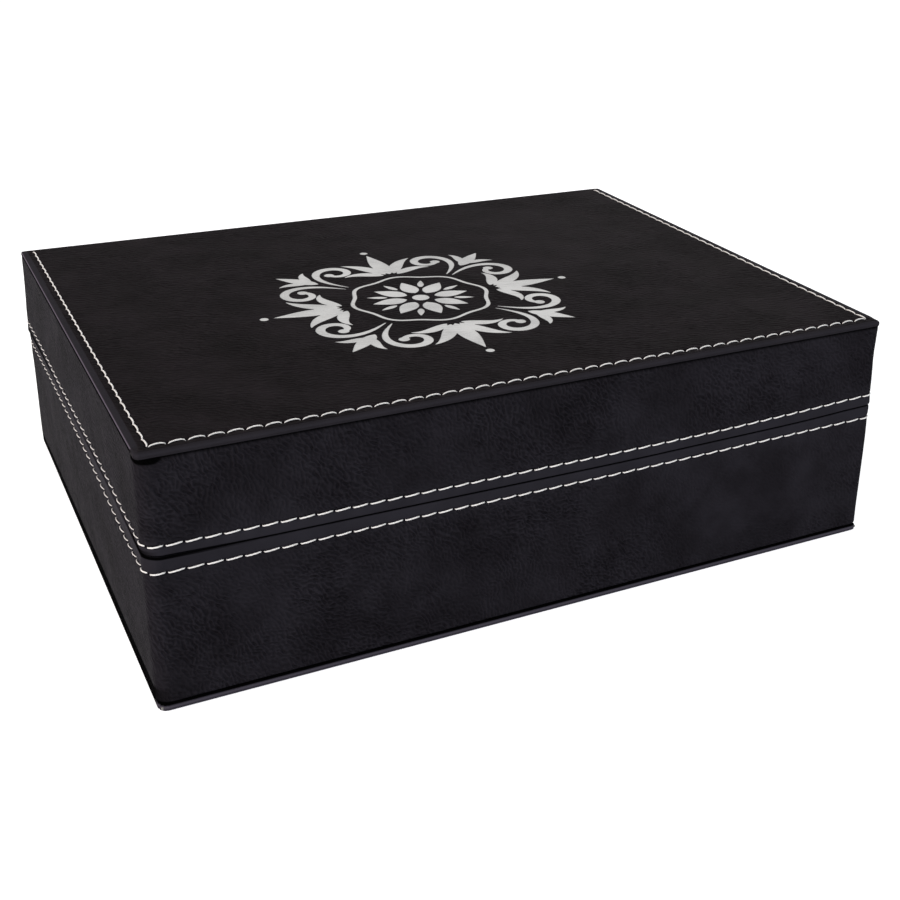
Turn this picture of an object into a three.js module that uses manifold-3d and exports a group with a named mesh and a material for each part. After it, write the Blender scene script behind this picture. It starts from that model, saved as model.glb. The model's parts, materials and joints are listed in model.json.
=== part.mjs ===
// Leatherette gift box: two board trays, wrapped, stitched and lined, held in a book-style case cover
// whose spine folds at the parting line, so the lid swings up and back.
// Millimetres, +Z up, X along the front and -Y the front. The origin is the centre of the bottom face.

import * as THREE from "three";
import { mergeVertices } from "three/addons/utils/BufferGeometryUtils.js";
import Module from "manifold-3d";

const wasm = await Module();
wasm.setup();

// Driving dimensions
const boxWidth = 254;
const boxDepth = 201;
const boxHeight = 81.2;
const partingHeight = 49; // plane in which the closed rims meet

// Sheet goods and how they are put together
const sheet = 0.55; // leatherette
const glueLine = 0.1; // film between glued pieces
const wallBoard = 6;
const floorBoard = 3;
const liner = 1.6; // card wrapped in velour

// Case cover: panels and spine
const caseThickness = 2;
const caseCornerRadius = 1.6;
const caseTurnIn = 12;
const spineTurnIn = 6;
const topRollRadius = 4;
const bottomRollRadius = 3;
const grooveHalfHeight = 3; // from the parting plane to each spine edge
const topFrontSetback = 0.8; // the top panel stops this far behind the front of the bottom one
const spineSideInset = 1; // the spine is this much narrower than the panels at each side
const foldSideInset = 1; // and the fold is this much narrower than the spine
const foldLap = 2; // the fold reaches this far behind the spine edge
const caseEdgeShare = 0.42; // edge rounding as a share of the panel's thickness

// Walls of the two trays
const frontOverhang = 0.85; // the bottom panel stands out this far in front; the side walls are flush
const wallCornerRadius = 4;
const wallRearRadius = 2.4;
const rimGap = 0.4; // daylight between the closed rims
const rimInset = 1.4; // the rounded rim leans in this far
const rimDrop = 4; // over this height
const rimTurnInShare = 0.3; // the wrap comes down inside over this share of the wall
const linerDrop = 1.2; // liners stop this far short of the rim
const padThickness = 5;
const lidPadThickness = 3;
const padClearance = 0.3;
const padRadius = 2;
const padEdgeShare = 0.3;

// Thread rows
const stitchPitch = 5.4;
const threadWidth = 0.85;
const threadProud = 0.5; // crown of a stitch above the leatherette
const threadNeckProud = 0.1; // the same at a needle hole
const threadSunk = 0.1; // underside of the thread below the leatherette
const threadNeckShare = 0.45; // width at a needle hole
const channelWidth = 1.3; // the thread lies in a pressed channel
const channelDepth = 0.4;
const lidRowHeight = 3.4; // above the parting plane
const baseRowHeight = 4.4; // below it
const topRowFrontInset = 4.6;
const topRowLeftInset = 4.4;
const topRowRightInset = 3.4;
const topRowRearMargin = 0.8; // the top row stops this far in front of the roll

// Hidden closure
const magnetLength = 20;
const magnetWidth = 3;
const magnetHeight = 2;
const magnetSpacing = 120;

// Engraved ornament: a rosette in a waved ring, palmettes on the axes and scrolls on the diagonals
const ornamentRadius = 58.5;
const engravingDepth = 0.25;
const ornamentCentreShares = [-0.034, -0.0624]; // of the width and depth
const strokeTipShare = 0.006;
const ringRadiusShare = 0.41;
const ringWaveShare = 0.015;
const ringWidthShare = 0.026;
const ringWaves = 8;
// Strokes as shares of the radius: x, y, length and width; heading and curl are radians off the motif's axis
const petalShares = { x: 0, y: 0.09, length: 0.217, width: 0.103, heading: 0, curl: 0 };
const dropShares = { x: 0, y: 0.2, length: 0.124, width: 0.036, heading: 0, curl: 0 };
const palmetteShares = [
  { x: 0, y: 0.5, length: 0.414, width: 0.107, heading: 0, curl: 0 },
  { x: 0.028, y: 0.503, length: 0.345, width: 0.08, heading: -0.42, curl: -0.75 },
  { x: 0.045, y: 0.486, length: 0.267, width: 0.066, heading: -0.95, curl: -1.25 },
];
const scrollShares = { x: 0.019, y: 0.483, length: 0.81, width: 0.05, heading: -0.1, curl: -6.6 };
const crestShares = [
  { x: 0, y: 0.68, length: 0.293, width: 0.086, heading: 0, curl: 0 },
  { x: 0.014, y: 0.74, length: 0.198, width: 0.052, heading: -0.55, curl: -0.9 },
];
const discShares = { heart: 0.053, eye: 0.033, bead: 0.026 };
const beadPlaceShare = 0.97;

// Cuts run past the faces that they open by this much
const overrun = 10;

const arcSegments = 3; // curve divisions of a quarter round, doubled by three.js
const edgeSegments = 3;
const leafSteps = 5;
const scrollSteps = 14;
const ringSteps = 48;
const discSides = 8;

// Insets from the outer face of a wall to each layer
const boardOuter = sheet + glueLine;
const boardInner = boardOuter + wallBoard;
const turnInOuter = boardInner + glueLine;
const turnInInner = turnInOuter + sheet;
const linerOuter = turnInInner + glueLine;
const linerInner = linerOuter + liner;

// Plan rectangles
const halfWidth = boxWidth / 2;
const halfDepth = boxDepth / 2;
const casePlan = { x0: -halfWidth, x1: halfWidth, y0: -halfDepth, y1: halfDepth };
const wallPlan = {
  ...casePlan,
  y0: -halfDepth + frontOverhang,
  y1: halfDepth - caseThickness - glueLine,
};
const caseEdge = caseThickness * caseEdgeShare;

function inset(plan, by) {
  return { x0: plan.x0 + by, x1: plan.x1 - by, y0: plan.y0 + by, y1: plan.y1 - by };
}

// Solids and booleans

function solid(geometry) {
  const bare = geometry.clone();
  bare.deleteAttribute("normal");
  bare.deleteAttribute("uv");
  const merged = mergeVertices(bare);
  const vertProperties = new Float32Array(merged.attributes.position.array);
  const triVerts = new Uint32Array(merged.index.array);
  return new wasm.Manifold(new wasm.Mesh({ numProp: 3, vertProperties, triVerts }));
}

function geometryOf(manifold) {
  const mesh = manifold.getMesh();
  const geometry = new THREE.BufferGeometry();
  geometry.setAttribute("position", new THREE.BufferAttribute(new Float32Array(mesh.vertProperties), 3));
  geometry.setIndex(new THREE.BufferAttribute(new Uint32Array(mesh.triVerts), 1));
  const flat = geometry.toNonIndexed();
  flat.computeVertexNormals();
  return flat;
}

function block(plan, zA, zB) {
  const low = Math.min(zA, zB);
  const high = Math.max(zA, zB);
  const geometry = new THREE.BoxGeometry(plan.x1 - plan.x0, plan.y1 - plan.y0, high - low);
  geometry.translate((plan.x0 + plan.x1) / 2, (plan.y0 + plan.y1) / 2, (low + high) / 2);
  return solid(geometry);
}

function roundedShape(plan, radius, rearRadius = radius) {
  const shape = new THREE.Shape();
  shape.moveTo(plan.x0 + radius, plan.y0);
  shape.lineTo(plan.x1 - radius, plan.y0);
  shape.absarc(plan.x1 - radius, plan.y0 + radius, radius, -Math.PI / 2, 0);
  shape.lineTo(plan.x1, plan.y1 - rearRadius);
  shape.absarc(plan.x1 - rearRadius, plan.y1 - rearRadius, rearRadius, 0, Math.PI / 2);
  shape.lineTo(plan.x0 + rearRadius, plan.y1);
  shape.absarc(plan.x0 + rearRadius, plan.y1 - rearRadius, rearRadius, Math.PI / 2, Math.PI);
  shape.lineTo(plan.x0, plan.y0 + radius);
  shape.absarc(plan.x0 + radius, plan.y0 + radius, radius, Math.PI, 1.5 * Math.PI);
  return shape;
}

// A rounded slab whose edges lean in by `lean` over a height of `drop` at both ends
function pillowGeometry(plan, radius, zA, zB, drop, lean, rearRadius) {
  const low = Math.min(zA, zB);
  const high = Math.max(zA, zB);
  const geometry = new THREE.ExtrudeGeometry(roundedShape(plan, radius, rearRadius), {
    depth: high - low - 2 * drop,
    curveSegments: arcSegments,
    bevelEnabled: true,
    bevelThickness: drop,
    bevelSize: lean,
    bevelOffset: -lean,
    bevelSegments: edgeSegments,
  });
  return geometry.translate(0, 0, low + drop);
}

function pillow(...sizes) {
  return solid(pillowGeometry(...sizes));
}

// The same slab standing up: its plan lies in X and Z, and it runs from yA to yB
function standingPillow(plan, radius, yA, yB, edge) {
  return solid(pillowGeometry(plan, radius, -yB, -yA, edge, edge).rotateX(Math.PI / 2));
}

// A prism along X over an outline of [y, z] points
function crossPrism(outline, xA, xB) {
  const shape = new THREE.Shape(outline.map(([y, z]) => new THREE.Vector2(y, z)));
  const geometry = new THREE.ExtrudeGeometry(shape, { depth: xB - xA, bevelEnabled: false });
  const toWorld = new THREE.Matrix4().makeBasis(
    new THREE.Vector3(0, 1, 0),
    new THREE.Vector3(0, 0, 1),
    new THREE.Vector3(1, 0, 0),
  );
  return solid(geometry.applyMatrix4(toWorld).translate(xA, 0, 0));
}

// Thread rows and their channels

// One run of a row: `at(t)` gives the point and the outward normal in plan, for t from 0 to 1.
// A mitred end has the normal of the corner that it shares with the next run.
function straightRun(from, to, { startMitre, endMitre } = {}) {
  const start = new THREE.Vector2(...from);
  const end = new THREE.Vector2(...to);
  const along = end.clone().sub(start).normalize();
  const outward = [along.y, -along.x];
  const mitreAt = { 0: startMitre, 1: endMitre };
  return {
    length: start.distanceTo(end),
    stepsPerStitch: 2,
    at: (t) => ({ point: start.clone().lerp(end, t).toArray(), normal: mitreAt[t] ?? outward }),
  };
}

// One stitch round a corner
function cornerRun(centre, radius, fromAngle) {
  return {
    length: 0,
    stepsPerStitch: 4,
    at: (t) => {
      const angle = fromAngle + (Math.PI / 2) * t;
      const normal = [Math.cos(angle), Math.sin(angle)];
      return { point: [centre[0] + radius * normal[0], centre[1] + radius * normal[1]], normal };
    },
  };
}

// Stations along a row, with `swell` 0 at a needle hole and 1 on the crown of a stitch
function stitchStations(runs) {
  const stations = [];
  for (const run of runs) {
    const stitches = Math.max(1, Math.round(run.length / stitchPitch));
    const steps = stitches * run.stepsPerStitch;
    for (let k = stations.length ? 1 : 0; k <= steps; k += 1) {
      const phase = (k % run.stepsPerStitch) / run.stepsPerStitch;
      stations.push({ ...run.at(k / steps), swell: Math.sin(Math.PI * phase) });
    }
  }
  return stations;
}

function plainStations(runs) {
  const stations = [];
  for (const run of runs) {
    const steps = run.length ? 1 : 2 * arcSegments;
    for (let k = stations.length ? 1 : 0; k <= steps; k += 1) {
      stations.push({ ...run.at(k / steps), swell: 1 });
    }
  }
  return stations;
}

// Four-sided tube through the stations. `section(swell)` gives its half width, floor and crown.
// On a wall the crown points along the normal and the width along Z; on the top it is the other way round.
function rowTube(stations, height, onWall, section) {
  const corners = [];
  for (const { point, normal, swell } of stations) {
    const { half, floor, crown } = section(swell);
    for (const [across, out] of [[-half, floor], [half, floor], [half, crown], [-half, crown]]) {
      const inPlan = onWall ? out : across;
      const rise = onWall ? across : out;
      corners.push([point[0] + normal[0] * inPlan, point[1] + normal[1] * inPlan, height + rise]);
    }
  }
  const faces = [];
  const quad = (a, b, c, d) => faces.push([a, b, c], [a, c, d]);
  for (let k = 0; k < stations.length - 1; k += 1) {
    for (let j = 0; j < 4; j += 1) {
      const next = (j + 1) % 4;
      quad(4 * k + j, 4 * k + next, 4 * (k + 1) + next, 4 * (k + 1) + j);
    }
  }
  const last = 4 * (stations.length - 1);
  quad(3, 2, 1, 0);
  quad(last, last + 1, last + 2, last + 3);
  const geometry = new THREE.BufferGeometry();
  geometry.setAttribute("position", new THREE.Float32BufferAttribute(corners.flat(), 3));
  geometry.setIndex(faces.flatMap(([a, b, c]) => (onWall ? [a, b, c] : [a, c, b])));
  return solid(geometry);
}

function stitchedRow(runs, height, onWall) {
  const neck = threadWidth * threadNeckShare;
  const thread = rowTube(stitchStations(runs), height, onWall, (swell) => ({
    half: (neck + (threadWidth - neck) * swell) / 2,
    floor: -threadSunk,
    crown: threadNeckProud + (threadProud - threadNeckProud) * swell,
  }));
  const channel = rowTube(plainStations(runs), height, onWall, () => ({
    half: channelWidth / 2,
    floor: -channelDepth,
    crown: threadProud,
  }));
  return { thread, channel };
}

// Row round the left, front and right walls, from one rear corner to the other
function wallRow(height) {
  const { x0, x1, y0, y1 } = wallPlan;
  const r = wallCornerRadius;
  const rear = y1 - wallRearRadius;
  const runs = [
    straightRun([x0, rear], [x0, y0 + r]),
    cornerRun([x0 + r, y0 + r], r, Math.PI),
    straightRun([x0 + r, y0], [x1 - r, y0]),
    cornerRun([x1 - r, y0 + r], r, 1.5 * Math.PI),
    straightRun([x1, y0 + r], [x1, rear]),
  ];
  return stitchedRow(runs, height, true);
}

// Row along the left, front and right edges of the top, with square corners
function topRow() {
  const x0 = -halfWidth + topRowLeftInset;
  const x1 = halfWidth - topRowRightInset;
  const y0 = -halfDepth + topFrontSetback + topRowFrontInset;
  const rear = halfDepth - topRollRadius - topRowRearMargin;
  const leftMitre = [-1, -1];
  const rightMitre = [1, -1];
  const runs = [
    straightRun([x0, rear], [x0, y0], { endMitre: leftMitre }),
    straightRun([x0, y0], [x1, y0], { startMitre: leftMitre, endMitre: rightMitre }),
    straightRun([x1, y0], [x1, rear], { startMitre: rightMitre }),
  ];
  return stitchedRow(runs, boxHeight, false);
}

// Engraved ornament

// Outline of a stroke that turns by bend(u) on its way and is width(u) wide, u being the share travelled
function strokeOutline({ x, y, length, heading }, bend, width, steps, crowding) {
  const left = [];
  const right = [];
  let before = 0;
  for (let k = 0; k <= steps; k += 1) {
    const u = (k / steps) ** crowding;
    const middle = heading + bend((u + before) / 2) + Math.PI / 2;
    x += (u - before) * length * Math.cos(middle);
    y += (u - before) * length * Math.sin(middle);
    before = u;
    const angle = heading + bend(u) + Math.PI / 2;
    const half = width(u) / 2;
    left.push([x - half * Math.sin(angle), y + half * Math.cos(angle)]);
    right.push([x + half * Math.sin(angle), y - half * Math.cos(angle)]);
  }
  return { outline: [...left, ...right.reverse()], end: [x, y] };
}

function leafOutline(shares) {
  const bend = (u) => shares.curl * u * u;
  const width = (u) => strokeTipShare + shares.width * Math.sin(Math.PI * u ** 0.75);
  return strokeOutline(shares, bend, width, leafSteps, 1).outline;
}

function scrollOutlines(shares) {
  const bend = (u) => shares.curl * u ** 2.1;
  const width = (u) => strokeTipShare + shares.width * Math.sin(Math.PI * (0.02 + 0.78 * u));
  const { outline, end } = strokeOutline(shares, bend, width, scrollSteps, 0.7);
  return [outline, discOutline(end, discShares.eye)];
}

function discOutline([x, y], radius, sides = discSides) {
  const outline = [];
  for (let k = 0; k < sides; k += 1) {
    const angle = (2 * Math.PI * k) / sides;
    outline.push([x + radius * Math.cos(angle), y + radius * Math.sin(angle)]);
  }
  return outline;
}

function wavedRing(widthShare) {
  const outline = [];
  for (let k = 0; k < ringSteps; k += 1) {
    const angle = (2 * Math.PI * k) / ringSteps;
    const radius = ringRadiusShare + ringWaveShare * Math.cos(ringWaves * angle) + widthShare / 2;
    outline.push([radius * Math.cos(angle), radius * Math.sin(angle)]);
  }
  return outline;
}

const mirrored = (outline) => outline.map(([x, y]) => [-x, y]);

function turned(outline, angle) {
  const c = Math.cos(angle);
  const s = Math.sin(angle);
  return outline.map(([x, y]) => [c * x - s * y, s * x + c * y]);
}

// All outlines of the ornament, as shares of its radius about its own centre
function ornamentOutlines() {
  const outlines = [discOutline([0, 0], discShares.heart)];
  const eighth = Math.PI / 4;
  for (let k = 0; k < 8; k += 1) {
    outlines.push(turned(leafOutline(petalShares), k * eighth));
    outlines.push(turned(leafOutline(dropShares), (k + 0.5) * eighth));
  }
  const paired = (list) => list.flatMap((outline) => [outline, mirrored(outline)]);
  const [centreLeaf, ...sideLeaves] = palmetteShares.map(leafOutline);
  const [crestLeaf, ...crestSides] = crestShares.map(leafOutline);
  const onAxis = [centreLeaf, discOutline([0, beadPlaceShare], discShares.bead), ...paired(sideLeaves)];
  const onDiagonal = [crestLeaf, ...paired([...crestSides, ...scrollOutlines(scrollShares)])];
  for (let k = 0; k < 4; k += 1) {
    outlines.push(...onAxis.map((outline) => turned(outline, 2 * k * eighth)));
    outlines.push(...onDiagonal.map((outline) => turned(outline, (2 * k + 1) * eighth)));
  }
  return outlines;
}

// The cutter of the engraving, reaching down from above the top face
function engraving() {
  const centre = [boxWidth * ornamentCentreShares[0], boxDepth * ornamentCentreShares[1]];
  const onTop = ([x, y]) => new THREE.Vector2(centre[0] + ornamentRadius * x, centre[1] + ornamentRadius * y);
  const scaled = (outline) => outline.map(onTop);
  const ring = new THREE.Shape(scaled(wavedRing(ringWidthShare)));
  ring.holes.push(new THREE.Path(scaled(wavedRing(-ringWidthShare))));
  const shapes = [ring, ...ornamentOutlines().map((outline) => new THREE.Shape(scaled(outline)))];
  const depth = engravingDepth + overrun;
  return shapes
    .map((shape) => new THREE.ExtrudeGeometry(shape, { depth, bevelEnabled: false }))
    .map((geometry) => solid(geometry.translate(0, 0, boxHeight - engravingDepth)))
    .reduce((all, cutter) => all.add(cutter));
}

// Half of the case cover with its boards: a panel, the roll over the rear edge, a spine and the fold

function caseHalf({ faceZ, rimZ, rollRadius, frontSetback = 0 }) {
  const inward = Math.sign(rimZ - faceZ);
  const at = (depth) => faceZ + inward * depth;
  const spineEnd = Math.abs(partingHeight - faceZ) - grooveHalfHeight;
  const spineInner = halfDepth - caseThickness;

  const ownPlan = { ...casePlan, y0: casePlan.y0 + frontSetback };
  const panelPlan = { ...ownPlan, y1: halfDepth + overrun };
  const panel = pillow(panelPlan, caseCornerRadius, at(0), at(caseThickness), caseEdge, caseEdge);
  const spineSide = halfWidth - spineSideInset;
  const spinePlan = {
    x0: -spineSide,
    x1: spineSide,
    y0: Math.min(at(-overrun), at(spineEnd)),
    y1: Math.max(at(-overrun), at(spineEnd)),
  };
  const spine = standingPillow(spinePlan, caseCornerRadius, spineInner, halfDepth, caseEdge);

  const roll = [];
  const rollSteps = 2 * arcSegments;
  for (let k = 0; k <= rollSteps; k += 1) {
    const angle = ((Math.PI / 2) * k) / rollSteps;
    roll.push([
      halfDepth - rollRadius * (1 - Math.sin(angle)),
      at(rollRadius * (1 - Math.cos(angle))),
    ]);
  }
  const reach = boxHeight;
  const outline = [
    [-halfDepth - overrun, at(0)],
    ...roll,
    [halfDepth, at(reach)],
    [-halfDepth - overrun, at(reach)],
  ];
  const envelope = crossPrism(outline, -halfWidth - overrun, halfWidth + overrun);

  const foldPlan = {
    x0: -spineSide + foldSideInset,
    x1: spineSide - foldSideInset,
    y0: spineInner,
    y1: spineInner + sheet,
  };
  const fold = block(foldPlan, at(spineEnd - foldLap - caseEdge), rimZ);

  // Pockets for the two boards, each with a window inside its turn-in
  const pocketPlan = { ...inset(ownPlan, sheet), y1: halfDepth - rollRadius };
  const windowPlan = inset(pocketPlan, caseTurnIn);
  const boardPlan = inset(pocketPlan, glueLine);
  const pocketDepth = caseThickness - sheet;
  const spinePocket = {
    x0: -spineSide + sheet,
    x1: spineSide - sheet,
    y0: spineInner + sheet,
    y1: halfDepth - sheet,
  };
  const spineWindow = {
    x0: spinePocket.x0 + spineTurnIn,
    x1: spinePocket.x1 - spineTurnIn,
    y0: spineInner - overrun,
    y1: spinePocket.y1,
  };
  const pocketEnd = spineEnd - sheet;
  const cover = panel
    .add(spine)
    .intersect(envelope)
    .add(fold)
    .subtract(block(pocketPlan, at(sheet), at(pocketDepth)))
    .subtract(block(windowPlan, at(sheet), at(caseThickness + sheet)))
    .subtract(block(spinePocket, at(rollRadius), at(pocketEnd)))
    .subtract(block(spineWindow, at(rollRadius + spineTurnIn), at(pocketEnd - spineTurnIn)));
  return {
    cover,
    board: block(boardPlan, at(sheet + glueLine), at(pocketDepth - glueLine)),
    spineBoard: block(inset(spinePocket, glueLine), at(rollRadius + glueLine), at(pocketEnd - glueLine)),
  };
}

// A tray: four wall boards round a floor board, wrapped, lined and padded. Its rim faces the parting plane.

function tray({ rootZ, rimZ, rowHeight, pad }) {
  const toRoot = Math.sign(rootZ - rimZ);
  const fromRim = (depth) => rimZ + toRoot * depth;
  const fromRoot = (height) => rootZ - toRoot * height;
  const wallHeight = Math.abs(rootZ - rimZ);
  const beyond = wallHeight + 2 * rimDrop + overrun;
  const keep = block(inset(wallPlan, -overrun), fromRim(-overrun), rootZ);
  const wrapped = (by) => {
    const [front, rear] = [wallCornerRadius - by, wallRearRadius - by];
    return pillow(inset(wallPlan, by), front, fromRim(by), fromRim(beyond), rimDrop, rimInset, rear).intersect(keep);
  };

  // Wall boards, butted at the corners
  const hollow = inset(wallPlan, boardInner);
  const outside = inset(wallPlan, -overrun);
  const through = (plan) => block(plan, fromRim(-overrun), fromRoot(-overrun));
  const ring = wrapped(boardOuter).subtract(through(hollow));
  const part = (limits) => ring.intersect(through({ ...outside, ...limits }));
  const sides = { y0: hollow.y0 + glueLine, y1: hollow.y1 - glueLine };
  const magnetY = hollow.y0 - (wallBoard - rimInset) / 2;
  const magnetPlan = (side) => ({
    x0: (side * magnetSpacing) / 2 - magnetLength / 2,
    x1: (side * magnetSpacing) / 2 + magnetLength / 2,
    y0: magnetY - magnetWidth / 2,
    y1: magnetY + magnetWidth / 2,
  });
  let front = part({ y1: hollow.y0 });
  for (const side of [-1, 1]) {
    const pocket = inset(magnetPlan(side), -glueLine);
    front = front.subtract(block(pocket, fromRim(-overrun), fromRim(boardOuter + magnetHeight + glueLine)));
  }
  const boards = {
    front,
    rear: part({ y0: hollow.y1 }),
    left: part({ x1: hollow.x0, ...sides }),
    right: part({ x0: hollow.x1, ...sides }),
  };
  const magnet = (side) => block(magnetPlan(side), fromRim(boardOuter), fromRim(boardOuter + magnetHeight));

  // Wrap: outside, over the rim and down inside, with the channel of its thread row
  const row = wallRow(rowHeight);
  const mouth = through(inset(wallPlan, turnInInner));
  const turnInEnd = fromRim(wallHeight * rimTurnInShare);
  const turnIn = block(inset(wallPlan, turnInOuter), fromRim(sheet / 2), turnInEnd);
  const cover = wrapped(0).subtract(wrapped(sheet)).add(turnIn).subtract(mouth).subtract(row.channel);

  // Floor board, liners and pad
  const linersPlan = inset(wallPlan, linerOuter);
  const inside = inset(wallPlan, linerInner);
  const linerFoot = fromRoot(floorBoard + glueLine);
  const linerTop = fromRim(linerDrop);
  const between = { y0: inside.y0 + glueLine, y1: inside.y1 - glueLine };
  const liners = {
    front: block({ ...linersPlan, y1: inside.y0 }, linerFoot, linerTop),
    rear: block({ ...linersPlan, y0: inside.y1 }, linerFoot, linerTop),
    left: block({ ...linersPlan, x1: inside.x0, ...between }, linerFoot, linerTop),
    right: block({ ...linersPlan, x0: inside.x1, ...between }, linerFoot, linerTop),
  };
  const padEdge = pad * padEdgeShare;
  const padTop = fromRoot(floorBoard + glueLine + pad);
  return {
    cover,
    stitching: row.thread,
    boards,
    liners,
    floor: block(inset(hollow, glueLine), rootZ, fromRoot(floorBoard)),
    pad: pillow(inset(inside, padClearance), padRadius, linerFoot, padTop, padEdge, padEdge),
    magnets: { left: magnet(-1), right: magnet(1) },
  };
}

// Materials

const finish = (color, roughness, metalness = 0) => () =>
  new THREE.MeshStandardMaterial({ color, roughness, metalness });
const leatherette = finish(0x262427, 0.55);
const thread = finish(0xe6e2da, 0.8);
const fibreboard = finish(0x9a7a55, 0.9);
const greyboard = finish(0x85827b, 0.95);
const velour = finish(0x1b1b1e, 1);
const nickel = finish(0xb9b9b5, 0.3, 1);

// Assembly

const box = new THREE.Group();
const base = new THREE.Group();
const lid = new THREE.Group();
box.add(base, lid);

function place(group, name, manifold, material) {
  const mesh = new THREE.Mesh(geometryOf(manifold), material());
  mesh.name = name;
  group.add(mesh);
}

function placeTray(group, prefix, floorName, padName, pieces) {
  place(group, `${prefix}_cover`, pieces.cover, leatherette);
  place(group, `${prefix}_stitching`, pieces.stitching, thread);
  place(group, floorName, pieces.floor, fibreboard);
  place(group, padName, pieces.pad, velour);
  for (const [side, board] of Object.entries(pieces.boards)) {
    place(group, `${prefix}_${side}_board`, board, fibreboard);
  }
  for (const [side, card] of Object.entries(pieces.liners)) {
    place(group, `${prefix}_${side}_liner`, card, velour);
  }
  for (const [side, magnet] of Object.entries(pieces.magnets)) {
    place(group, `${prefix}_magnet_${side}`, magnet, nickel);
  }
}

const baseRim = partingHeight - rimGap / 2;
const lidRim = partingHeight + rimGap / 2;
const rootGap = caseThickness + glueLine;

const bottomCase = caseHalf({ faceZ: 0, rimZ: baseRim, rollRadius: bottomRollRadius });
place(base, "bottom_cover", bottomCase.cover, leatherette);
place(base, "bottom_board", bottomCase.board, greyboard);
place(base, "spine_lower_board", bottomCase.spineBoard, greyboard);
const baseTray = tray({
  rootZ: rootGap,
  rimZ: baseRim,
  rowHeight: partingHeight - baseRowHeight,
  pad: padThickness,
});
placeTray(base, "base", "base_floor_board", "base_floor_pad", baseTray);

const topCase = caseHalf({
  faceZ: boxHeight,
  rimZ: lidRim,
  rollRadius: topRollRadius,
  frontSetback: topFrontSetback,
});
const edgeRow = topRow();
place(lid, "top_cover", topCase.cover.subtract(edgeRow.channel).subtract(engraving()), leatherette);
place(lid, "top_stitching", edgeRow.thread, thread);
place(lid, "top_board", topCase.board, greyboard);
place(lid, "spine_upper_board", topCase.spineBoard, greyboard);
const lidTray = tray({
  rootZ: boxHeight - rootGap,
  rimZ: lidRim,
  rowHeight: partingHeight + lidRowHeight,
  pad: lidPadThickness,
});
placeTray(lid, "lid", "lid_ceiling_board", "lid_ceiling_pad", lidTray);

export default box;
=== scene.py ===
"""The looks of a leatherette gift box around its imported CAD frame.

Sizes are millimetres here and become metres when a mesh is made. +Z is up and -Y is the front.
"""

import json
import math

import bmesh
import bpy
import numpy as np
from mathutils import Matrix, Vector
from mathutils.geometry import delaunay_2d_cdt


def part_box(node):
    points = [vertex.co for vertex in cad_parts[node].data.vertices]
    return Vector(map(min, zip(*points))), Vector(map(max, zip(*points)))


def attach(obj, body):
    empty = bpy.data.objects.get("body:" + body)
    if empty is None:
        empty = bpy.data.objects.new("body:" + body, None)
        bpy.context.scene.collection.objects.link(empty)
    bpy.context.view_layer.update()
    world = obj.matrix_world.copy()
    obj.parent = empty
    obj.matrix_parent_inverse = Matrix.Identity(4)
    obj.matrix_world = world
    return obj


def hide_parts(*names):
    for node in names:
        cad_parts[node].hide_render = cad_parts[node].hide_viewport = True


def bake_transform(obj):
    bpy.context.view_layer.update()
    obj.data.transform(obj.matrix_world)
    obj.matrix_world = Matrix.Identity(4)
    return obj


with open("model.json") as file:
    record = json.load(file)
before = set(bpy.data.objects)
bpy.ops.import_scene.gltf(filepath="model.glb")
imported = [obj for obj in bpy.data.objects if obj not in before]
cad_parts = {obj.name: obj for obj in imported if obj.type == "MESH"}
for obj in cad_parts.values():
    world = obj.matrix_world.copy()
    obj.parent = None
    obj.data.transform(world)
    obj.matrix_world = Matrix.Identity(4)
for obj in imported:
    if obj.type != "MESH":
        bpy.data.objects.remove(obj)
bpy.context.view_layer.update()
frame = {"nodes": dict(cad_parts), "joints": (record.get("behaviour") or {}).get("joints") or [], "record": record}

MM = 0.001
TAU = 2 * math.pi
QUARTER = math.pi / 2

# Sizes that the frame gives


def node_box(node):
    low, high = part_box(node)
    return low / MM, high / MM


top_box = node_box("top_cover")
bottom_box = node_box("bottom_cover")
WIDTH = bottom_box[1].x - bottom_box[0].x
DEPTH = bottom_box[1].y - bottom_box[0].y
HEIGHT = top_box[1].z
HINGE = Vector(frame["joints"][0]["pos_m"]) / MM
PARTING = HINGE.z

# Sheet and case cover

SHEET = 0.55
CASE_THICKNESS = 2
TOP_CORNER, BOTTOM_CORNER = 1.5, 2.6
TURN_IN = 12
SPINE_TURN_IN = 6
TOP_ROLL = 4
BOTTOM_ROLL = 3
GROOVE_HALF = 3  # from the parting plane to each edge of the spine
SPINE_INSET = 1  # the spine is this much narrower than the panels at each side
EDGE_UNDER = 0.75  # rounding of a case edge where it turns under
TOP_EDGE = (1.3, 1.1)  # the softer rounding on the outer face: across and down
BOTTOM_EDGE = (0.6, 0.5)
PANEL_STEP = 6  # mesh spacing on open areas
BEND_STEPS = 10
PLEAT_DEPTH = 0.4
PLEATS = 3
SHARP_CORNER = 0.2  # corner radius of loops inside the face and on the flat sheet
LIP_FROM = (2, 6)  # the lip along the top panel's sides grows over this stretch behind the front edge
LIP_DROP = 0.45  # its face slopes down this much to the side
LIP_PULL = 0.7  # share of its edge's rounding that is pulled out square
LIP_HIGHLIGHT_LINE = (1.1, 0.8, 0.3)  # a painted highlight line on its rim: from the side where it starts, is full, and ends
LIP_PAINTED_LIGHT = (0.8, 0.15)  # painted light on the lip's face and side edge, and how much less it is at the thread row
UPRIGHT = (0.35, 0.6)  # depth over which the top panel's side edge comes to stand upright
SIDE_PAINTED_SHADE = (1.4, 0.8)  # painted shade on a side edge: from the side where it starts and is full
BOTTOM_PAINTED_LIGHT = 0.33  # painted light: the bottom panel's edge is drawn lighter by this

# Walls

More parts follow.
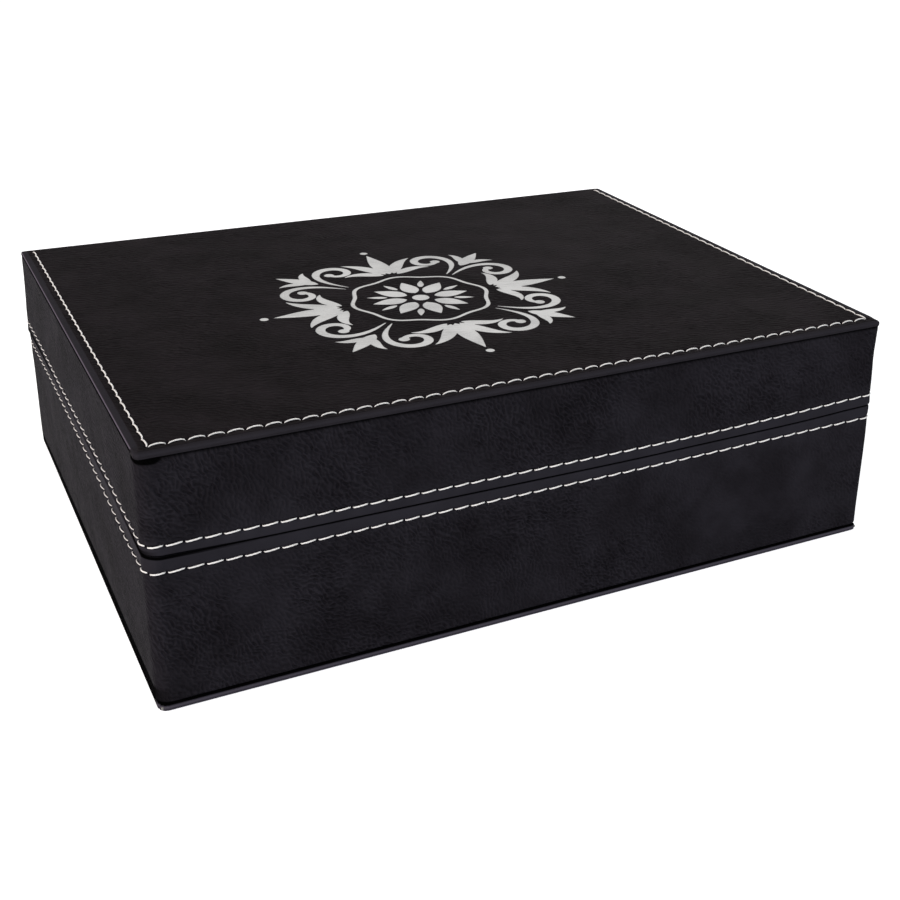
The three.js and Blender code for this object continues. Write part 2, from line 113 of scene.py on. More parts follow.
WALL_CORNERS = (2.4, 4.4, 3.6, 2.4)  # radii: rear left, front left, front right, rear right
TURN_IN_OUTER = 6.75  # inset of the turn-in's two faces
TURN_IN_INNER = 7.3
TURN_IN_SHARE = 0.3  # of the wall's height
LID_RIM = (0.4, 0.6)  # rounding of a rim: in and along
BASE_RIM = (0.7, 1.0)
CORNER_GIVE = 0.5  # the rims draw in this much more at the near corner
GIVE_HEIGHT, LIFT_HEIGHT = 3, 2.5  # from the rim, over which that and the lift fade
ROOT_HOLD = 0.4  # share of the root's inset that is left at the sides
LID_ROOT = (0.6, 1.3)  # rounding where a wall meets its panel: in and along
BASE_ROOT = (0.6, 0.8)
ROOT_RISE = 0.8  # the sides of the lid's wall reach up beside the panel's edge
RIM_LIFT = 0.5  # the lid's rim lifts this much at the near corner
CORNER_SHARES = (0.21, 0.41, 0.61, 0.81)  # stations round a corner
ROOT_LINES = (0.5, 1.0, 1.6, 2.2, 2.9, 3.6, 4.3)  # mesh lines beside the root's rounding
LEVEL_ROOT = (2, 22)  # the rims wander and the side walls bow from this height over the root up
SIDE_REACH = (14, 5)  # the front and rear walls follow a side wall from and up to this far off it
SIDE_BOW = 0.35  # the side walls stand out this much halfway along
# and this much at their ends: (rear rim, rear root, front rim, front root)
LID_SPREAD = ((1.1, 0, 0, 0), (0.3, 0.3, 1.1, -0.7))  # left wall, right wall
BASE_SPREAD = ((0.6, 0.6, 0, 0), (0.3, 0.3, 0.9, 0.8))

# Painted highlights and painted shade of the wraps: from where a mark starts to where it is full

MARKED_RIM = 1.4  # inset up to which the marks of the outer face go on over the rim
LEFT_HIGHLIGHT = (1.8, 1.2)  # painted highlight along the left base rim's rounding, from the rim
LEFT_HIGHLIGHT_SHARE = 0.74
LEFT_RIM_SHADE = (2.0, 1.2)  # painted shade along the left lid rim, in the parting line, from the rim
LEFT_FOOT_SHADE = (4.8, 3.8)  # painted shade along the foot of the left wall, from the root
NEAR_RIM_SHADE = (0.5, 0.3)  # painted shade on the base's rim at the near corner, from the rim
NEAR_ROOT_SHADOW = (0.2, 1.4)  # painted shadow under the top panel's lip: height along the front, and more at the corner
NEAR_ROOT_SHARE = 0.018  # of the front, over which that painted shadow grows lower
LID_ROOT_SHADE, BASE_ROOT_SHADE = 0.9, 0.75  # painted shade in the roots

# Rises of the rims and thread rows off level: (place, rise). The left wall is 0 to 1 from rear to front, the
# front 1 to 2 and the right wall 2 to 3.
RIM_LINE = (
    (0, 0), (0.1, 0.9), (0.3, 1.8), (0.5, 2.1), (0.7, 1.7), (0.9, 1.1), (1, -0.1),
    (1.25, -0.4), (1.6, -1.0), (1.9, -0.4), (2, 0.7), (2.3, 0.1), (3, 0),
)
LID_ROW_LINE = (
    (0, 1.2), (0.15, 2.1), (0.25, 1.8), (0.35, 1.2), (0.65, 1.5), (0.75, 1.3), (0.87, 0.4), (0.94, 0.1),
    (1, 0.35), (1.25, -0.15), (1.6, -0.6), (1.75, -0.5), (1.92, 0.5), (2, 1.4), (2.3, 0.2), (3, 0),
)
BASE_ROW_LINE = (
    (0, 0.6), (0.15, 1.7), (0.3, 2.4), (0.5, 2.1), (0.65, 1.3), (0.78, 0.1), (0.87, -1.0), (0.93, -1.1),
    (1, -0.1), (1.1, -0.5), (1.3, -0.2), (1.6, -0.4), (1.8, -0.1), (2, 0.3), (2.3, 0), (3, 0),
)

# Thread rows

PITCH = 5.4
TOP_ROW_FRONT = 4.6
TOP_ROW_LEFT = 4.4
TOP_ROW_RIGHT = 3.4
TOP_ROW_MARGIN = 0.8  # from the roll
LID_ROW = PARTING + 3.4
BASE_ROW = PARTING - 4.4
THREAD_RADIUS = 0.25
LEFT_PULL = 0.7  # share of the thread's radius that shows on the left wall
WALL_GAP, TOP_GAP = 0.75, 0.6  # between stitches
CHANNEL_HALF = 1.1
CHANNEL_DEPTH = 0.34
HOLE_DEPTH = 0.24
HOLE_RADIUS = 0.42
CHANNEL_WIDTH = 0.75
CHANNEL_SWING = 0.25  # the channel is this share deeper at a hole, and shallower between
PUCKER = 0.07
PUCKER_PLACE, PUCKER_WIDTH = 1.5, 0.8
ROW_FADE = (2.5, 0.5)  # a row fades out past its last hole
STATION_MARGIN = 0.3  # free at both ends of a run
STITCH_STATIONS = (0, 0.07, 0.15, 0.3, 0.5, 0.7, 0.85, 0.93)
CHANNEL_LINES = (-1.1, -0.8, -0.52, -0.26, 0, 0.26, 0.52, 0.8, 1.1)
THREAD_STEPS, THREAD_SIDES = 14, 10
THREAD_SUNK = 0.32  # a stitch's ends lie this deep
THREAD_BED = 0.6  # share of the channel's depth at which the thread lies
WALL_SLANT, WALL_CROWN = 0.42, 0.7
TOP_SLANT, TOP_CROWN = 0.5, 0.6
HOOK = 0.16  # a stitch's end bends aside to its hole
PLIES, PLY_DEPTH, PLY_TWIST = 3, 0.1, 7.5

# Ornament, as in the frame: shares of its radius, with headings and curls off the motif's axis

ORNAMENT_RADIUS = 58.5
ORNAMENT_CENTRE = (-0.034 * WIDTH, -0.0624 * DEPTH)
ENGRAVING_DEPTH = 0.22
INLAY_TOP, INLAY_BOTTOM = 0.1, 0.2
STROKE_TIP = 0.006
RING_RADIUS, RING_WAVE, RING_WIDTH, RING_WAVES = 0.41, 0.015, 0.026, 8
PETAL = (0, 0.09, 0.217, 0.103, 0, 0)  # x, y, length, width, heading, curl
DROP = (0, 0.2, 0.124, 0.036, 0, 0)
PALMETTE = (
    (0, 0.5, 0.414, 0.107, 0, 0),
    (0.028, 0.503, 0.345, 0.08, -0.42, -0.75),
    (0.045, 0.486, 0.267, 0.066, -0.95, -1.25),
)
SCROLL = (0.019, 0.483, 0.81, 0.05, -0.1, -6.6)
CREST = (
    (0, 0.68, 0.293, 0.086, 0, 0),
    (0.014, 0.74, 0.198, 0.052, -0.55, -0.9),
)
HEART_DISC, EYE_DISC, BEAD_DISC, BEAD_PLACE = 0.053, 0.033, 0.026, 0.97
LEAF_STEPS, SCROLL_STEPS, RING_STEPS, DISC_SIDES = 18, 60, 192, 28

# Camera of the photograph: pinhole with a shifted centre, in units of the box's width

FRAME_PIXELS = 900
FOCAL_PIXELS = 1345.974
CENTRE_PIXELS = (550, 375)
CAMERA_AZIMUTH, CAMERA_ELEVATION, CAMERA_ROLL = -0.4995671, 0.3891107, 0.0284263
CAMERA_OFFSET = (-0.1774409, -0.0166242, 1.9910411)
SENSOR_MM = 36

# Studio, in metres

WORLD_LEVEL = 0.35
FLOOR_SIZE = 12
FLOOR_GLOW = 0.65
LAMPS = (
    # name, place, target, size, watts, colour
    ("key", (-1.65, -0.45, 0.75), (0, 0, 0.03), (0.9, 0.9), 30.0, (1, 0.92, 0.91)),
    ("front", (0.35, -1.5, 0.6), (0, 0, 0.04), (1.0, 0.7), 13.0, (0.8, 0.88, 1)),
    ("back", (1.0, 0.9, 0.9), (0, 0, 0.04), (1.0, 0.7), 7.0, (1, 1, 1)),
)


def make_camera():
    az, el, roll = CAMERA_AZIMUTH, CAMERA_ELEVATION, CAMERA_ROLL
    back = Vector((math.sin(az) * math.cos(el), -math.cos(az) * math.cos(el), math.sin(el)))
    right = (-back).cross(Vector((0, 0, 1))).normalized()
    up = right.cross(-back)
    across = math.cos(roll) * right + math.sin(roll) * up
    above = math.cos(roll) * up - math.sin(roll) * right
    tx, ty, tz = (part * WIDTH * MM for part in CAMERA_OFFSET)
    data = bpy.data.cameras.new("camera")
    data.sensor_width = SENSOR_MM
    data.lens = FOCAL_PIXELS / FRAME_PIXELS * SENSOR_MM
    data.shift_x = (FRAME_PIXELS / 2 - CENTRE_PIXELS[0]) / FRAME_PIXELS
    data.shift_y = (CENTRE_PIXELS[1] - FRAME_PIXELS / 2) / FRAME_PIXELS
    camera = bpy.data.objects.new("camera", data)
    bpy.context.scene.collection.objects.link(camera)
    place = Vector((0, 0, HEIGHT * MM / 2)) - across * tx - above * ty + back * tz
    turn = Matrix((across, above, back)).transposed().to_4x4()
    camera.matrix_world = Matrix.Translation(place) @ turn
    bpy.context.scene.camera = camera


# Meshes


class Build:
    """Collects points, faces, sheet coordinates and marks, and makes them a piece.

    The mark `edge` says where the sheet is painted lighter, as highlights on its edges and rims, and the other
    mark where it is painted black as shade: in needle holes and creases, the roots, the parting line, and on and
    under the panels' edges.
    """

    def __init__(self):
        self.points, self.uvs, self.faces, self.edge, self.painted_shade = [], [], [], [], []

    def add(self, point, uv, edge=0.0, painted_shade=0.0):
        self.points.append(point)
        self.uvs.append(uv)
        self.edge.append(edge)
        self.painted_shade.append(painted_shade)
        return len(self.points) - 1

    def grid(self, rows, closed_rows=False, closed_columns=False):
        """Quads between rows of point numbers."""
        count = len(rows)
        for i in range(count if closed_rows else count - 1):
            row, below = rows[i], rows[(i + 1) % count]
            width = len(row)
            for j in range(width if closed_columns else width - 1):
                k = (j + 1) % width
                self.faces.append((row[j], row[k], below[k], below[j]))

    def piece(self, name, material, crease=40):
        mesh = bpy.data.meshes.new(name)
        mesh.from_pydata([Vector(p) * MM for p in self.points], [], self.faces)
        layer = mesh.uv_layers.new(name="Sheet")
        corners = np.zeros(len(mesh.loops), np.int32)
        mesh.loops.foreach_get("vertex_index", corners)
        uvs = np.array(self.uvs, np.float32)[corners] * MM
        layer.uv.foreach_set("vector", uvs.ravel())
        for label, values in (("edge", self.edge), ("painted_shade", self.painted_shade)):
            if any(values):
                mark = mesh.attributes.new(label, "FLOAT", "POINT")
                mark.data.foreach_set("value", np.array(values, np.float32))
        return finish_piece(name, mesh, material, crease)


def finish_piece(name, mesh, material, crease=40):
    """Turns the faces outwards, shades them and links the object."""
    shape = bmesh.new()
    shape.from_mesh(mesh)
    bmesh.ops.recalc_face_normals(shape, faces=shape.faces)
    shape.to_mesh(mesh)
    shape.free()
    mesh.shade_smooth()
    mesh.set_sharp_from_angle(angle=math.radians(crease))
    mesh.materials.append(material)
    piece = bpy.data.objects.new(name, mesh)
    bpy.context.scene.collection.objects.link(piece)
    return piece


def spaced(start, end, step):
    """Values from start to end, at most step apart."""
    count = max(1, math.ceil(abs(end - start) / step - 1e-6))
    return [start + (end - start) * k / count for k in range(count + 1)]


def quarter(steps):
    """(sine, cosine) through a quarter turn."""
    return [(math.sin(QUARTER * k / steps), math.cos(QUARTER * k / steps)) for k in range(steps + 1)]


def smooth(value, low, high):
    t = min(1, max(0, (value - low) / (high - low)))
    return t * t * (3 - 2 * t)


def bell(value, width):
    return math.exp(-((value / width) ** 2))


def on_line(line, place):
    """The value at a place on a line through (place, value) pairs, with its kinks eased."""
    places, values = zip(*line)
    return float(np.mean(np.interp((place - 0.04, place, place + 0.04), places, values)))


# Thread rows


class Row:
    """What a row of stitches presses into the sheet."""

    def __init__(self, ends):
        self.ends = ends  # places of the needle holes along the run

    def relief(self, along, off):
        """Depth of the channel with its holes and the puckers beside it, and how strongly its needle holes are
        painted dark as shade.
        """
        k = np.searchsorted(self.ends, along)
        near = [self.ends[i] for i in (k - 1, k) if 0 <= i < len(self.ends)]
        inside = 0 < k < len(self.ends)
        gap = min(abs(along - end) for end in near)
        fade = 1 if inside else smooth(gap, *ROW_FADE)
        pitch = near[1] - near[0] if inside else PITCH
        swing = math.cos(TAU * gap / pitch) if inside else 1
        channel = CHANNEL_DEPTH * bell(off, CHANNEL_WIDTH) * (1 + CHANNEL_SWING * swing)
        # the needle holes' share sets both their depth and their painted shade
        painted_shade = bell(math.hypot(gap, off), HOLE_RADIUS)
        pucker = PUCKER * swing * bell(abs(off) - PUCKER_PLACE, PUCKER_WIDTH)
        return fade * (channel + HOLE_DEPTH * painted_shade + pucker), fade * painted_shade


def hole_places(start, end):
    count = max(1, round(abs(end - start) / PITCH))
    return [start + (end - start) * k / count for k in range(count + 1)]


def stitched_stations(ends, low, high):
    """Places along a run, dense at each hole, strictly between low and high."""
    places = [a + (b - a) * share for a, b in zip(ends, ends[1:]) for share in STITCH_STATIONS]
    return [place for place in [*places, ends[-1]] if low + STATION_MARGIN < place < high - STATION_MARGIN]


# Case cover halves, drawn flat: x from the left edge, t from the front edge over the roll to the spine's end


class Case:
    CORNER_REACH = 14
    END_REACH = 8
    STRAIGHT, ARC = 20, 10

    def __init__(self, box, face, inward, roll, spine_end, row):
        self.face, self.inward, self.roll, self.row = face, inward, roll, row
        self.over, self.corner_radius = (TOP_EDGE, TOP_CORNER) if row else (BOTTOM_EDGE, BOTTOM_CORNER)
        self.open_face = TOP_ROW_RIGHT - CHANNEL_HALF
        self.front, self.rear = box[0].y, box[1].y
        self.roll_start = self.rear - self.front - roll
        self.roll_end = self.roll_start + roll * QUARTER
        self.length = self.roll_end + abs(spine_end - face) - roll
        spine = spaced(self.length - self.END_REACH, self.roll_end, PANEL_STEP)
        bend = spaced(self.roll_end, self.roll_start, roll * QUARTER / BEND_STEPS)
        reach = self.CORNER_REACH
        if row:
            self.side_ends = hole_places(TOP_ROW_FRONT, self.roll_start - TOP_ROW_MARGIN)
            self.front_ends = hole_places(TOP_ROW_LEFT, WIDTH - TOP_ROW_RIGHT)
            flat = stitched_stations(self.side_ends, reach, self.roll_start)[::-1]
            front = stitched_stations(self.front_ends, reach, WIDTH - reach)
            self.side_row, self.front_row = Row(self.side_ends), Row(self.front_ends)
        else:
            flat = spaced(self.roll_start, reach, PANEL_STEP)[1:-1]
            front = spaced(reach, WIDTH - reach, PANEL_STEP)[1:-1]
        self.side_places = [*spine[:-1], *bend, *flat]
        self.front_places = [reach, *front]
        self.end_places = spaced(WIDTH - reach, reach, PANEL_STEP)[:-1]
        self.bend_places = [*spine[1:-1], *bend]

    def bent(self, x, t, depth):
        x -= WIDTH / 2
        if t <= self.roll_start:
            return (x, self.front + t, self.face + self.inward * depth)
        x *= 1 - 2 * SPINE_INSET / WIDTH * smooth(t, self.roll_start, self.roll_end + 1)
        angle = min((t - self.roll_start) / self.roll, QUARTER)
        arm = self.roll - depth
        y = self.rear - self.roll + arm * math.sin(angle)
        down = self.roll - arm * math.cos(angle) + max(0, t - self.roll_end)
        return (x, y, self.face + self.inward * down)

    def corner(self, a, tip, b, radius):
        """From a round the corner at tip to just before b: (point, share turned)."""
        a, tip, b = Vector(a), Vector(tip), Vector(b)
        towards_a, towards_b = (a - tip).normalized(), (b - tip).normalized()
        start, stop = tip + radius * towards_a, tip + radius * towards_b
        centre = tip + radius * (towards_a + towards_b)
        n, m = self.STRAIGHT, self.ARC
        points = [(a.lerp(start, k / n), 0) for k in range(n)]
        for k, (s, c) in enumerate(quarter(m)):
            points.append((centre - radius * (c * towards_b + s * towards_a), k / m))
        return points + [(stop.lerp(b, k / n), 1) for k in range(1, n)]

    def ring(self, inset, shift, radius):
        """A closed loop of ((x, t), share turned) at this inset, with this share of the rows' own insets."""
        reach, far = self.CORNER_REACH, self.length
        near_end, end = far - self.END_REACH, far - min(inset, SPINE_TURN_IN)
        left = inset + shift * (TOP_ROW_LEFT - TOP_ROW_RIGHT)
        front = inset + shift * (TOP_ROW_FRONT - TOP_ROW_RIGHT)
        right = WIDTH - inset
        loop = [((left, t), 0) for t in self.side_places]
        loop += self.corner((left, reach), (left, front), (reach, front), radius)
        loop += [((x, front), 0) for x in self.front_places]
        loop += self.corner((WIDTH - reach, front), (right, front), (right, reach), radius)
        loop += [((right, reach), 0)] + [((right, t), 0) for t in self.side_places[:0:-1]]
        loop += self.corner((right, near_end), (right, end), (WIDTH - reach, end), radius)
        loop += [((x, end), 0) for x in self.end_places]
        loop += self.corner((reach, end), (left, end), (left, near_end), radius)
        return loop

    def relief(self, x, t):
        """Depth that the thread row presses into the face at a flat place, and the painted shade of its needle
        holes.
        """
        if not self.row:
            return 0, 0
        from_side = min(x - TOP_ROW_LEFT, WIDTH - x - TOP_ROW_RIGHT)
        from_front = t - TOP_ROW_FRONT
        deepest = (0, 0)
        if abs(from_side) < 4 and from_front > -1 and t < self.roll_end:
            deepest = self.side_row.relief(t, from_side)
        if abs(from_front) < 4 and from_side > -1:
            deepest = max(deepest, self.front_row.relief(x, from_front))
        return deepest

    def profile(self):
        """Sections of (inset, depth, share of the rows' own insets, sheet inset, pleating, painted light).

        The first runs from the turn-in's end round the edge to the open face, the other back inside it.
        """
        thick, under = CASE_THICKNESS, EDGE_UNDER
        light = 0 if self.row else BOTTOM_PAINTED_LIGHT
        across, down = self.over
        line = [(TURN_IN, thick, 0, 0, 0), (under + 1.6, thick, 0, 0.6, 0)]
        # the edge's roundings are painted lighter, as highlights
        line += [(under * (1 - s), thick - under * (1 - c), 0, 1, 0.5 + light * s) for s, c in quarter(5)]
        for s, c in quarter(8):
            line.append((across * (1 - c), down * (1 - s), 0, 0.8 * c, 0.7 + light - 0.3 * abs(2 * s - 1)))
        line += [(across + (self.open_face - across) * k / 3, 0, k / 3, 0, 0) for k in (1, 2)]
        line += [(TOP_ROW_RIGHT + off, 0, 1, 0, 0) for off in CHANNEL_LINES]
        outer = []
        sheet_inset = line[-1][0]
        for k in range(len(line) - 1, -1, -1):
            if k < len(line) - 1:
                step = math.hypot(line[k][0] - line[k + 1][0], line[k][1] - line[k + 1][1])
                sheet_inset -= step
            inset, depth, shift, pleat, edge = line[k]
            outer.append((inset, depth, shift, sheet_inset, pleat, edge))
        outer.reverse()
        inner = [(outer[-1][0], SHEET, 1)]
        inner += [(across - (across - SHEET) * s, down - (down - SHEET) * c, 0) for s, c in quarter(5)]
        inner += [
            (under - (under - SHEET) * c, thick - under + (under - SHEET) * s, 0) for s, c in quarter(4)
        ]
        inner.append((TURN_IN, thick - SHEET, 0))
        return outer, [(inset, depth, shift, inset, 0, 0) for inset, depth, shift in inner]

    def side(self, x, t, depth, light):
        """How a point of the outside lies and looks: (x, added depth, painted light, painted shade).

        The top panel's side edges are pulled out to a flat lip.
        """
        from_side = min(x, WIDTH - x)
        # painted shade where the edge turns under, and on the side edges
        dark = smooth(depth, CASE_THICKNESS - 0.5 * EDGE_UNDER, CASE_THICKNESS - 0.2 * EDGE_UNDER)
        if from_side >= self.open_face:
            return x, 0, light, dark
        grown = smooth(t, *LIP_FROM)
        upright = smooth(depth, *UPRIGHT) if self.row else 1
        dark = max(dark, smooth(from_side, *SIDE_PAINTED_SHADE) * upright * grown)
        if not self.row or depth > self.over[1]:
            return x, 0, light, dark
        share = from_side / self.open_face
        added = LIP_DROP * grown * (1 - share) ** 2 - LIP_PULL * grown * depth
        # painted light over the lip's face and side edge, and a painted highlight line on its rim
        light = max(light, grown * (LIP_PAINTED_LIGHT[0] - LIP_PAINTED_LIGHT[1] * share))
        if from_side <= self.over[0]:
            starts, full, ends = LIP_HIGHLIGHT_LINE
            light = max(light, grown * smooth(from_side, starts, full) * smooth(from_side, 0, ends))
            x += math.copysign(LIP_PULL * grown * from_side, x - WIDTH / 2)
        return x, added, light, dark

    def build(self, marks=()):
        """The sheet round the board, and the inlay of the marked areas of its open face."""
        sheet = Build()
        outer, inner = self.profile()
        rings = []
        for index, (inset, depth, shift, sheet_inset, pleat, light) in enumerate([*outer, *inner]):
            loop = self.ring(inset, shift, max(SHARP_CORNER, self.corner_radius - inset))
            on_sheet = self.ring(sheet_inset, shift, SHARP_CORNER)
            numbers = []
            for ((x, t), turned), ((u, v), _) in zip(loop, on_sheet):
                pressed, painted_shade, mark, dark = 0, 0, light, 0
                if index < len(outer):
                    if depth == 0:
                        pressed, painted_shade = self.relief(x, t)
                    x, added, mark, dark = self.side(x, t, depth, light)
                    pressed += added
                fold = PLEAT_DEPTH * pleat * abs(math.sin(PLEATS * math.pi * turned)) if 0 < turned < 1 else 0
                middle = Vector((WIDTH / 2, min(max(t, 20), self.length - 20)))
                pull = (middle - Vector((x, t))).normalized() * fold
                point = self.bent(x + pull.x, t + pull.y, depth + pressed)
                numbers.append(sheet.add(point, (u, v), mark, max(painted_shade, dark)))
            rings.append(numbers)
        sheet.grid(rings[: len(outer)], closed_columns=True)
        sheet.grid(rings[len(outer) :], closed_columns=True)
        sheet.grid([rings[0], rings[-1]], closed_columns=True)
        edge_loop = [place for place, _ in self.ring(outer[-1][0], 1, SHARP_CORNER)]
        inlay = self.fill(sheet, rings[len(outer) - 1], edge_loop, 0, marks)
        self.fill(sheet, rings[len(outer)], edge_loop, SHEET, ())
        return sheet, inlay

    def sag(self, x, t):
        """Slight waviness of the open face."""
        rim = min(x - 8, WIDTH - 8 - x, t - 10, self.roll_start - t)
        wave = math.sin(x / 31 + 1.3) * math.sin(t / 27 + 0.4) + 0.6 * math.sin(x / 17 - t / 23)
        return 0.07 * (wave + 1.6) * smooth(rim, 0, 25)

    def fill(self, sheet, numbers, loop, depth, marks):
        """Closes a ring over the open face, sunk where it is marked, and returns the inlay of those areas."""
        points = [Vector(p) for p in loop]
        faces = [list(range(len(points)))]
        for outline in marks:
            faces.append(list(range(len(points), len(points) + len(outline))))
            points += [Vector(p) for p in outline]
        margin = 3
        inset_x, inset_t = loop[0][0] + margin, TOP_ROW_FRONT + margin
        rows = spaced(inset_t + 2, self.roll_start, PANEL_STEP) + self.bend_places
        for t in sorted({round(t, 4) for t in rows if t < self.length - 10}):
            points += [Vector((x, t)) for x in spaced(inset_x, WIDTH - inset_x, PANEL_STEP)]
        out, _, triangles, origin, _, face_origin = delaunay_2d_cdt(points, [], faces, 1, 1e-6)
        known = {}
        for k, sources in enumerate(origin):
            for source in sources:
                if source < len(numbers):
                    known[k] = numbers[source]
        level = {}

        def place(k, extra):
            if extra == 0 and k in known:
                return known[k]
            if (k, extra) not in level:
                x, t = out[k]
                sag = self.sag(x, t) if depth == 0 else 0
                level[k, extra] = sheet.add(self.bent(x, t, depth + sag + extra), (x, t))
            return level[k, extra]

        marked = []
        for triangle, sources in zip(triangles, face_origin):
            if any(source > 0 for source in sources):
                marked.append(triangle)
            else:
                sheet.faces.append([place(k, 0) for k in triangle])
        if not marked:
            return None
        border = outline_of(marked)
        for a, b in border:
            upper = (place(a, 0), place(b, 0))
            lower = (place(a, ENGRAVING_DEPTH), place(b, ENGRAVING_DEPTH))
            sheet.faces.append([upper[1], upper[0], lower[0], lower[1]])
        sheet.faces += [[place(k, ENGRAVING_DEPTH) for k in triangle] for triangle in marked]
        inlay = Build()
        numbered = {}
        for extra in (INLAY_TOP, INLAY_BOTTOM):
            for k in sorted({k for triangle in marked for k in triangle}):
                x, t = out[k]
                numbered[k, extra] = inlay.add(self.bent(x, t, self.sag(x, t) + extra), (x, t))
        for triangle in marked:
            inlay.faces.append([numbered[k, INLAY_TOP] for k in triangle])
            inlay.faces.append([numbered[k, INLAY_BOTTOM] for k in reversed(triangle)])
        for a, b in border:
            upper = [numbered[b, INLAY_TOP], numbered[a, INLAY_TOP]]
            inlay.faces.append([*upper, numbered[a, INLAY_BOTTOM], numbered[b, INLAY_BOTTOM]])
        return inlay


def outline_of(triangles):
    """The directed edges of triangles that no other one shares."""
    edges = {(t[k], t[(k + 1) % 3]) for t in triangles for k in range(3)}
    return [(a, b) for a, b in sorted(edges) if (b, a) not in edges]


# Ornament


def stroke(shares, bend, width, steps, crowding):
    x, y, length, _, heading, _ = shares
    left, right, before = [], [], 0
    for k in range(steps + 1):
        u = (k / steps) ** crowding
        middle = heading + bend((u + before) / 2) + QUARTER
        x += (u - before) * length * math.cos(middle)
        y += (u - before) * length * math.sin(middle)
        before = u
        angle, half = heading + bend(u) + QUARTER, width(u) / 2
        left.append((x - half * math.sin(angle), y + half * math.cos(angle)))
        right.append((x + half * math.sin(angle), y - half * math.cos(angle)))
    return [*left, *right[::-1]], (x, y)


def leaf(shares):
    return stroke(
        shares,
        lambda u: shares[5] * u * u,
        lambda u: STROKE_TIP + shares[3] * math.sin(math.pi * u**0.75),
        LEAF_STEPS,
        1,
    )[0]


def disc(centre, radius):
    turns = [TAU * k / DISC_SIDES for k in range(DISC_SIDES)]
    return [(centre[0] + radius * math.cos(a), centre[1] + radius * math.sin(a)) for a in turns]


def scroll(shares):
    outline, end = stroke(
        shares,
        lambda u: shares[5] * u**2.1,
        lambda u: STROKE_TIP + shares[3] * math.sin(math.pi * (0.02 + 0.78 * u)),
        SCROLL_STEPS,
        0.7,
    )
    return [outline, disc(end, EYE_DISC)]


def ring_halves():
    def arc(side, first):
        points = []
        for k in range(RING_STEPS // 2 + 1):
            angle = TAU * (k + first) / RING_STEPS
            radius = RING_RADIUS + RING_WAVE * math.cos(RING_WAVES * angle) + side * RING_WIDTH / 2
            points.append((radius * math.cos(angle), radius * math.sin(angle)))
        return points

    return [arc(1, first) + arc(-1, first)[::-1] for first in (0, RING_STEPS // 2)]


def turned(outline, angle):
    c, s = math.cos(angle), math.sin(angle)
    return [(c * x - s * y, s * x + c * y) for x, y in outline]


def ornament(front):
    """Outlines on the flat case whose front edge lies at this y, counter-clockwise."""
    outlines = [disc((0, 0), HEART_DISC), *ring_halves()]
    eighth = TAU / 8
    for k in range(8):
        outlines += [turned(leaf(PETAL), k * eighth), turned(leaf(DROP), (k + 0.5) * eighth)]

    def paired(shapes):
        return [each for shape in shapes for each in (shape, [(-x, y) for x, y in shape])]

    on_axis = [leaf(PALMETTE[0]), disc((0, BEAD_PLACE), BEAD_DISC)]
    on_axis += paired([leaf(shares) for shares in PALMETTE[1:]])
    on_diagonal = [leaf(CREST[0]), *paired([leaf(CREST[1]), *scroll(SCROLL)])]
    for k in range(4):
        outlines += [turned(shape, 2 * k * eighth) for shape in on_axis]
        outlines += [turned(shape, (2 * k + 1) * eighth) for shape in on_diagonal]
    x0, y0 = ORNAMENT_CENTRE[0] + WIDTH / 2, ORNAMENT_CENTRE[1] - front
    placed = []
    for outline in outlines:
        flat = [(x0 + ORNAMENT_RADIUS * x, y0 + ORNAMENT_RADIUS * y) for x, y in outline]
        area = sum(a[0] * b[1] - a[1] * b[0] for a, b in zip(flat, flat[1:] + flat[:1]))
        placed.append(flat if area > 0 else flat[::-1])
    return placed


# Walls


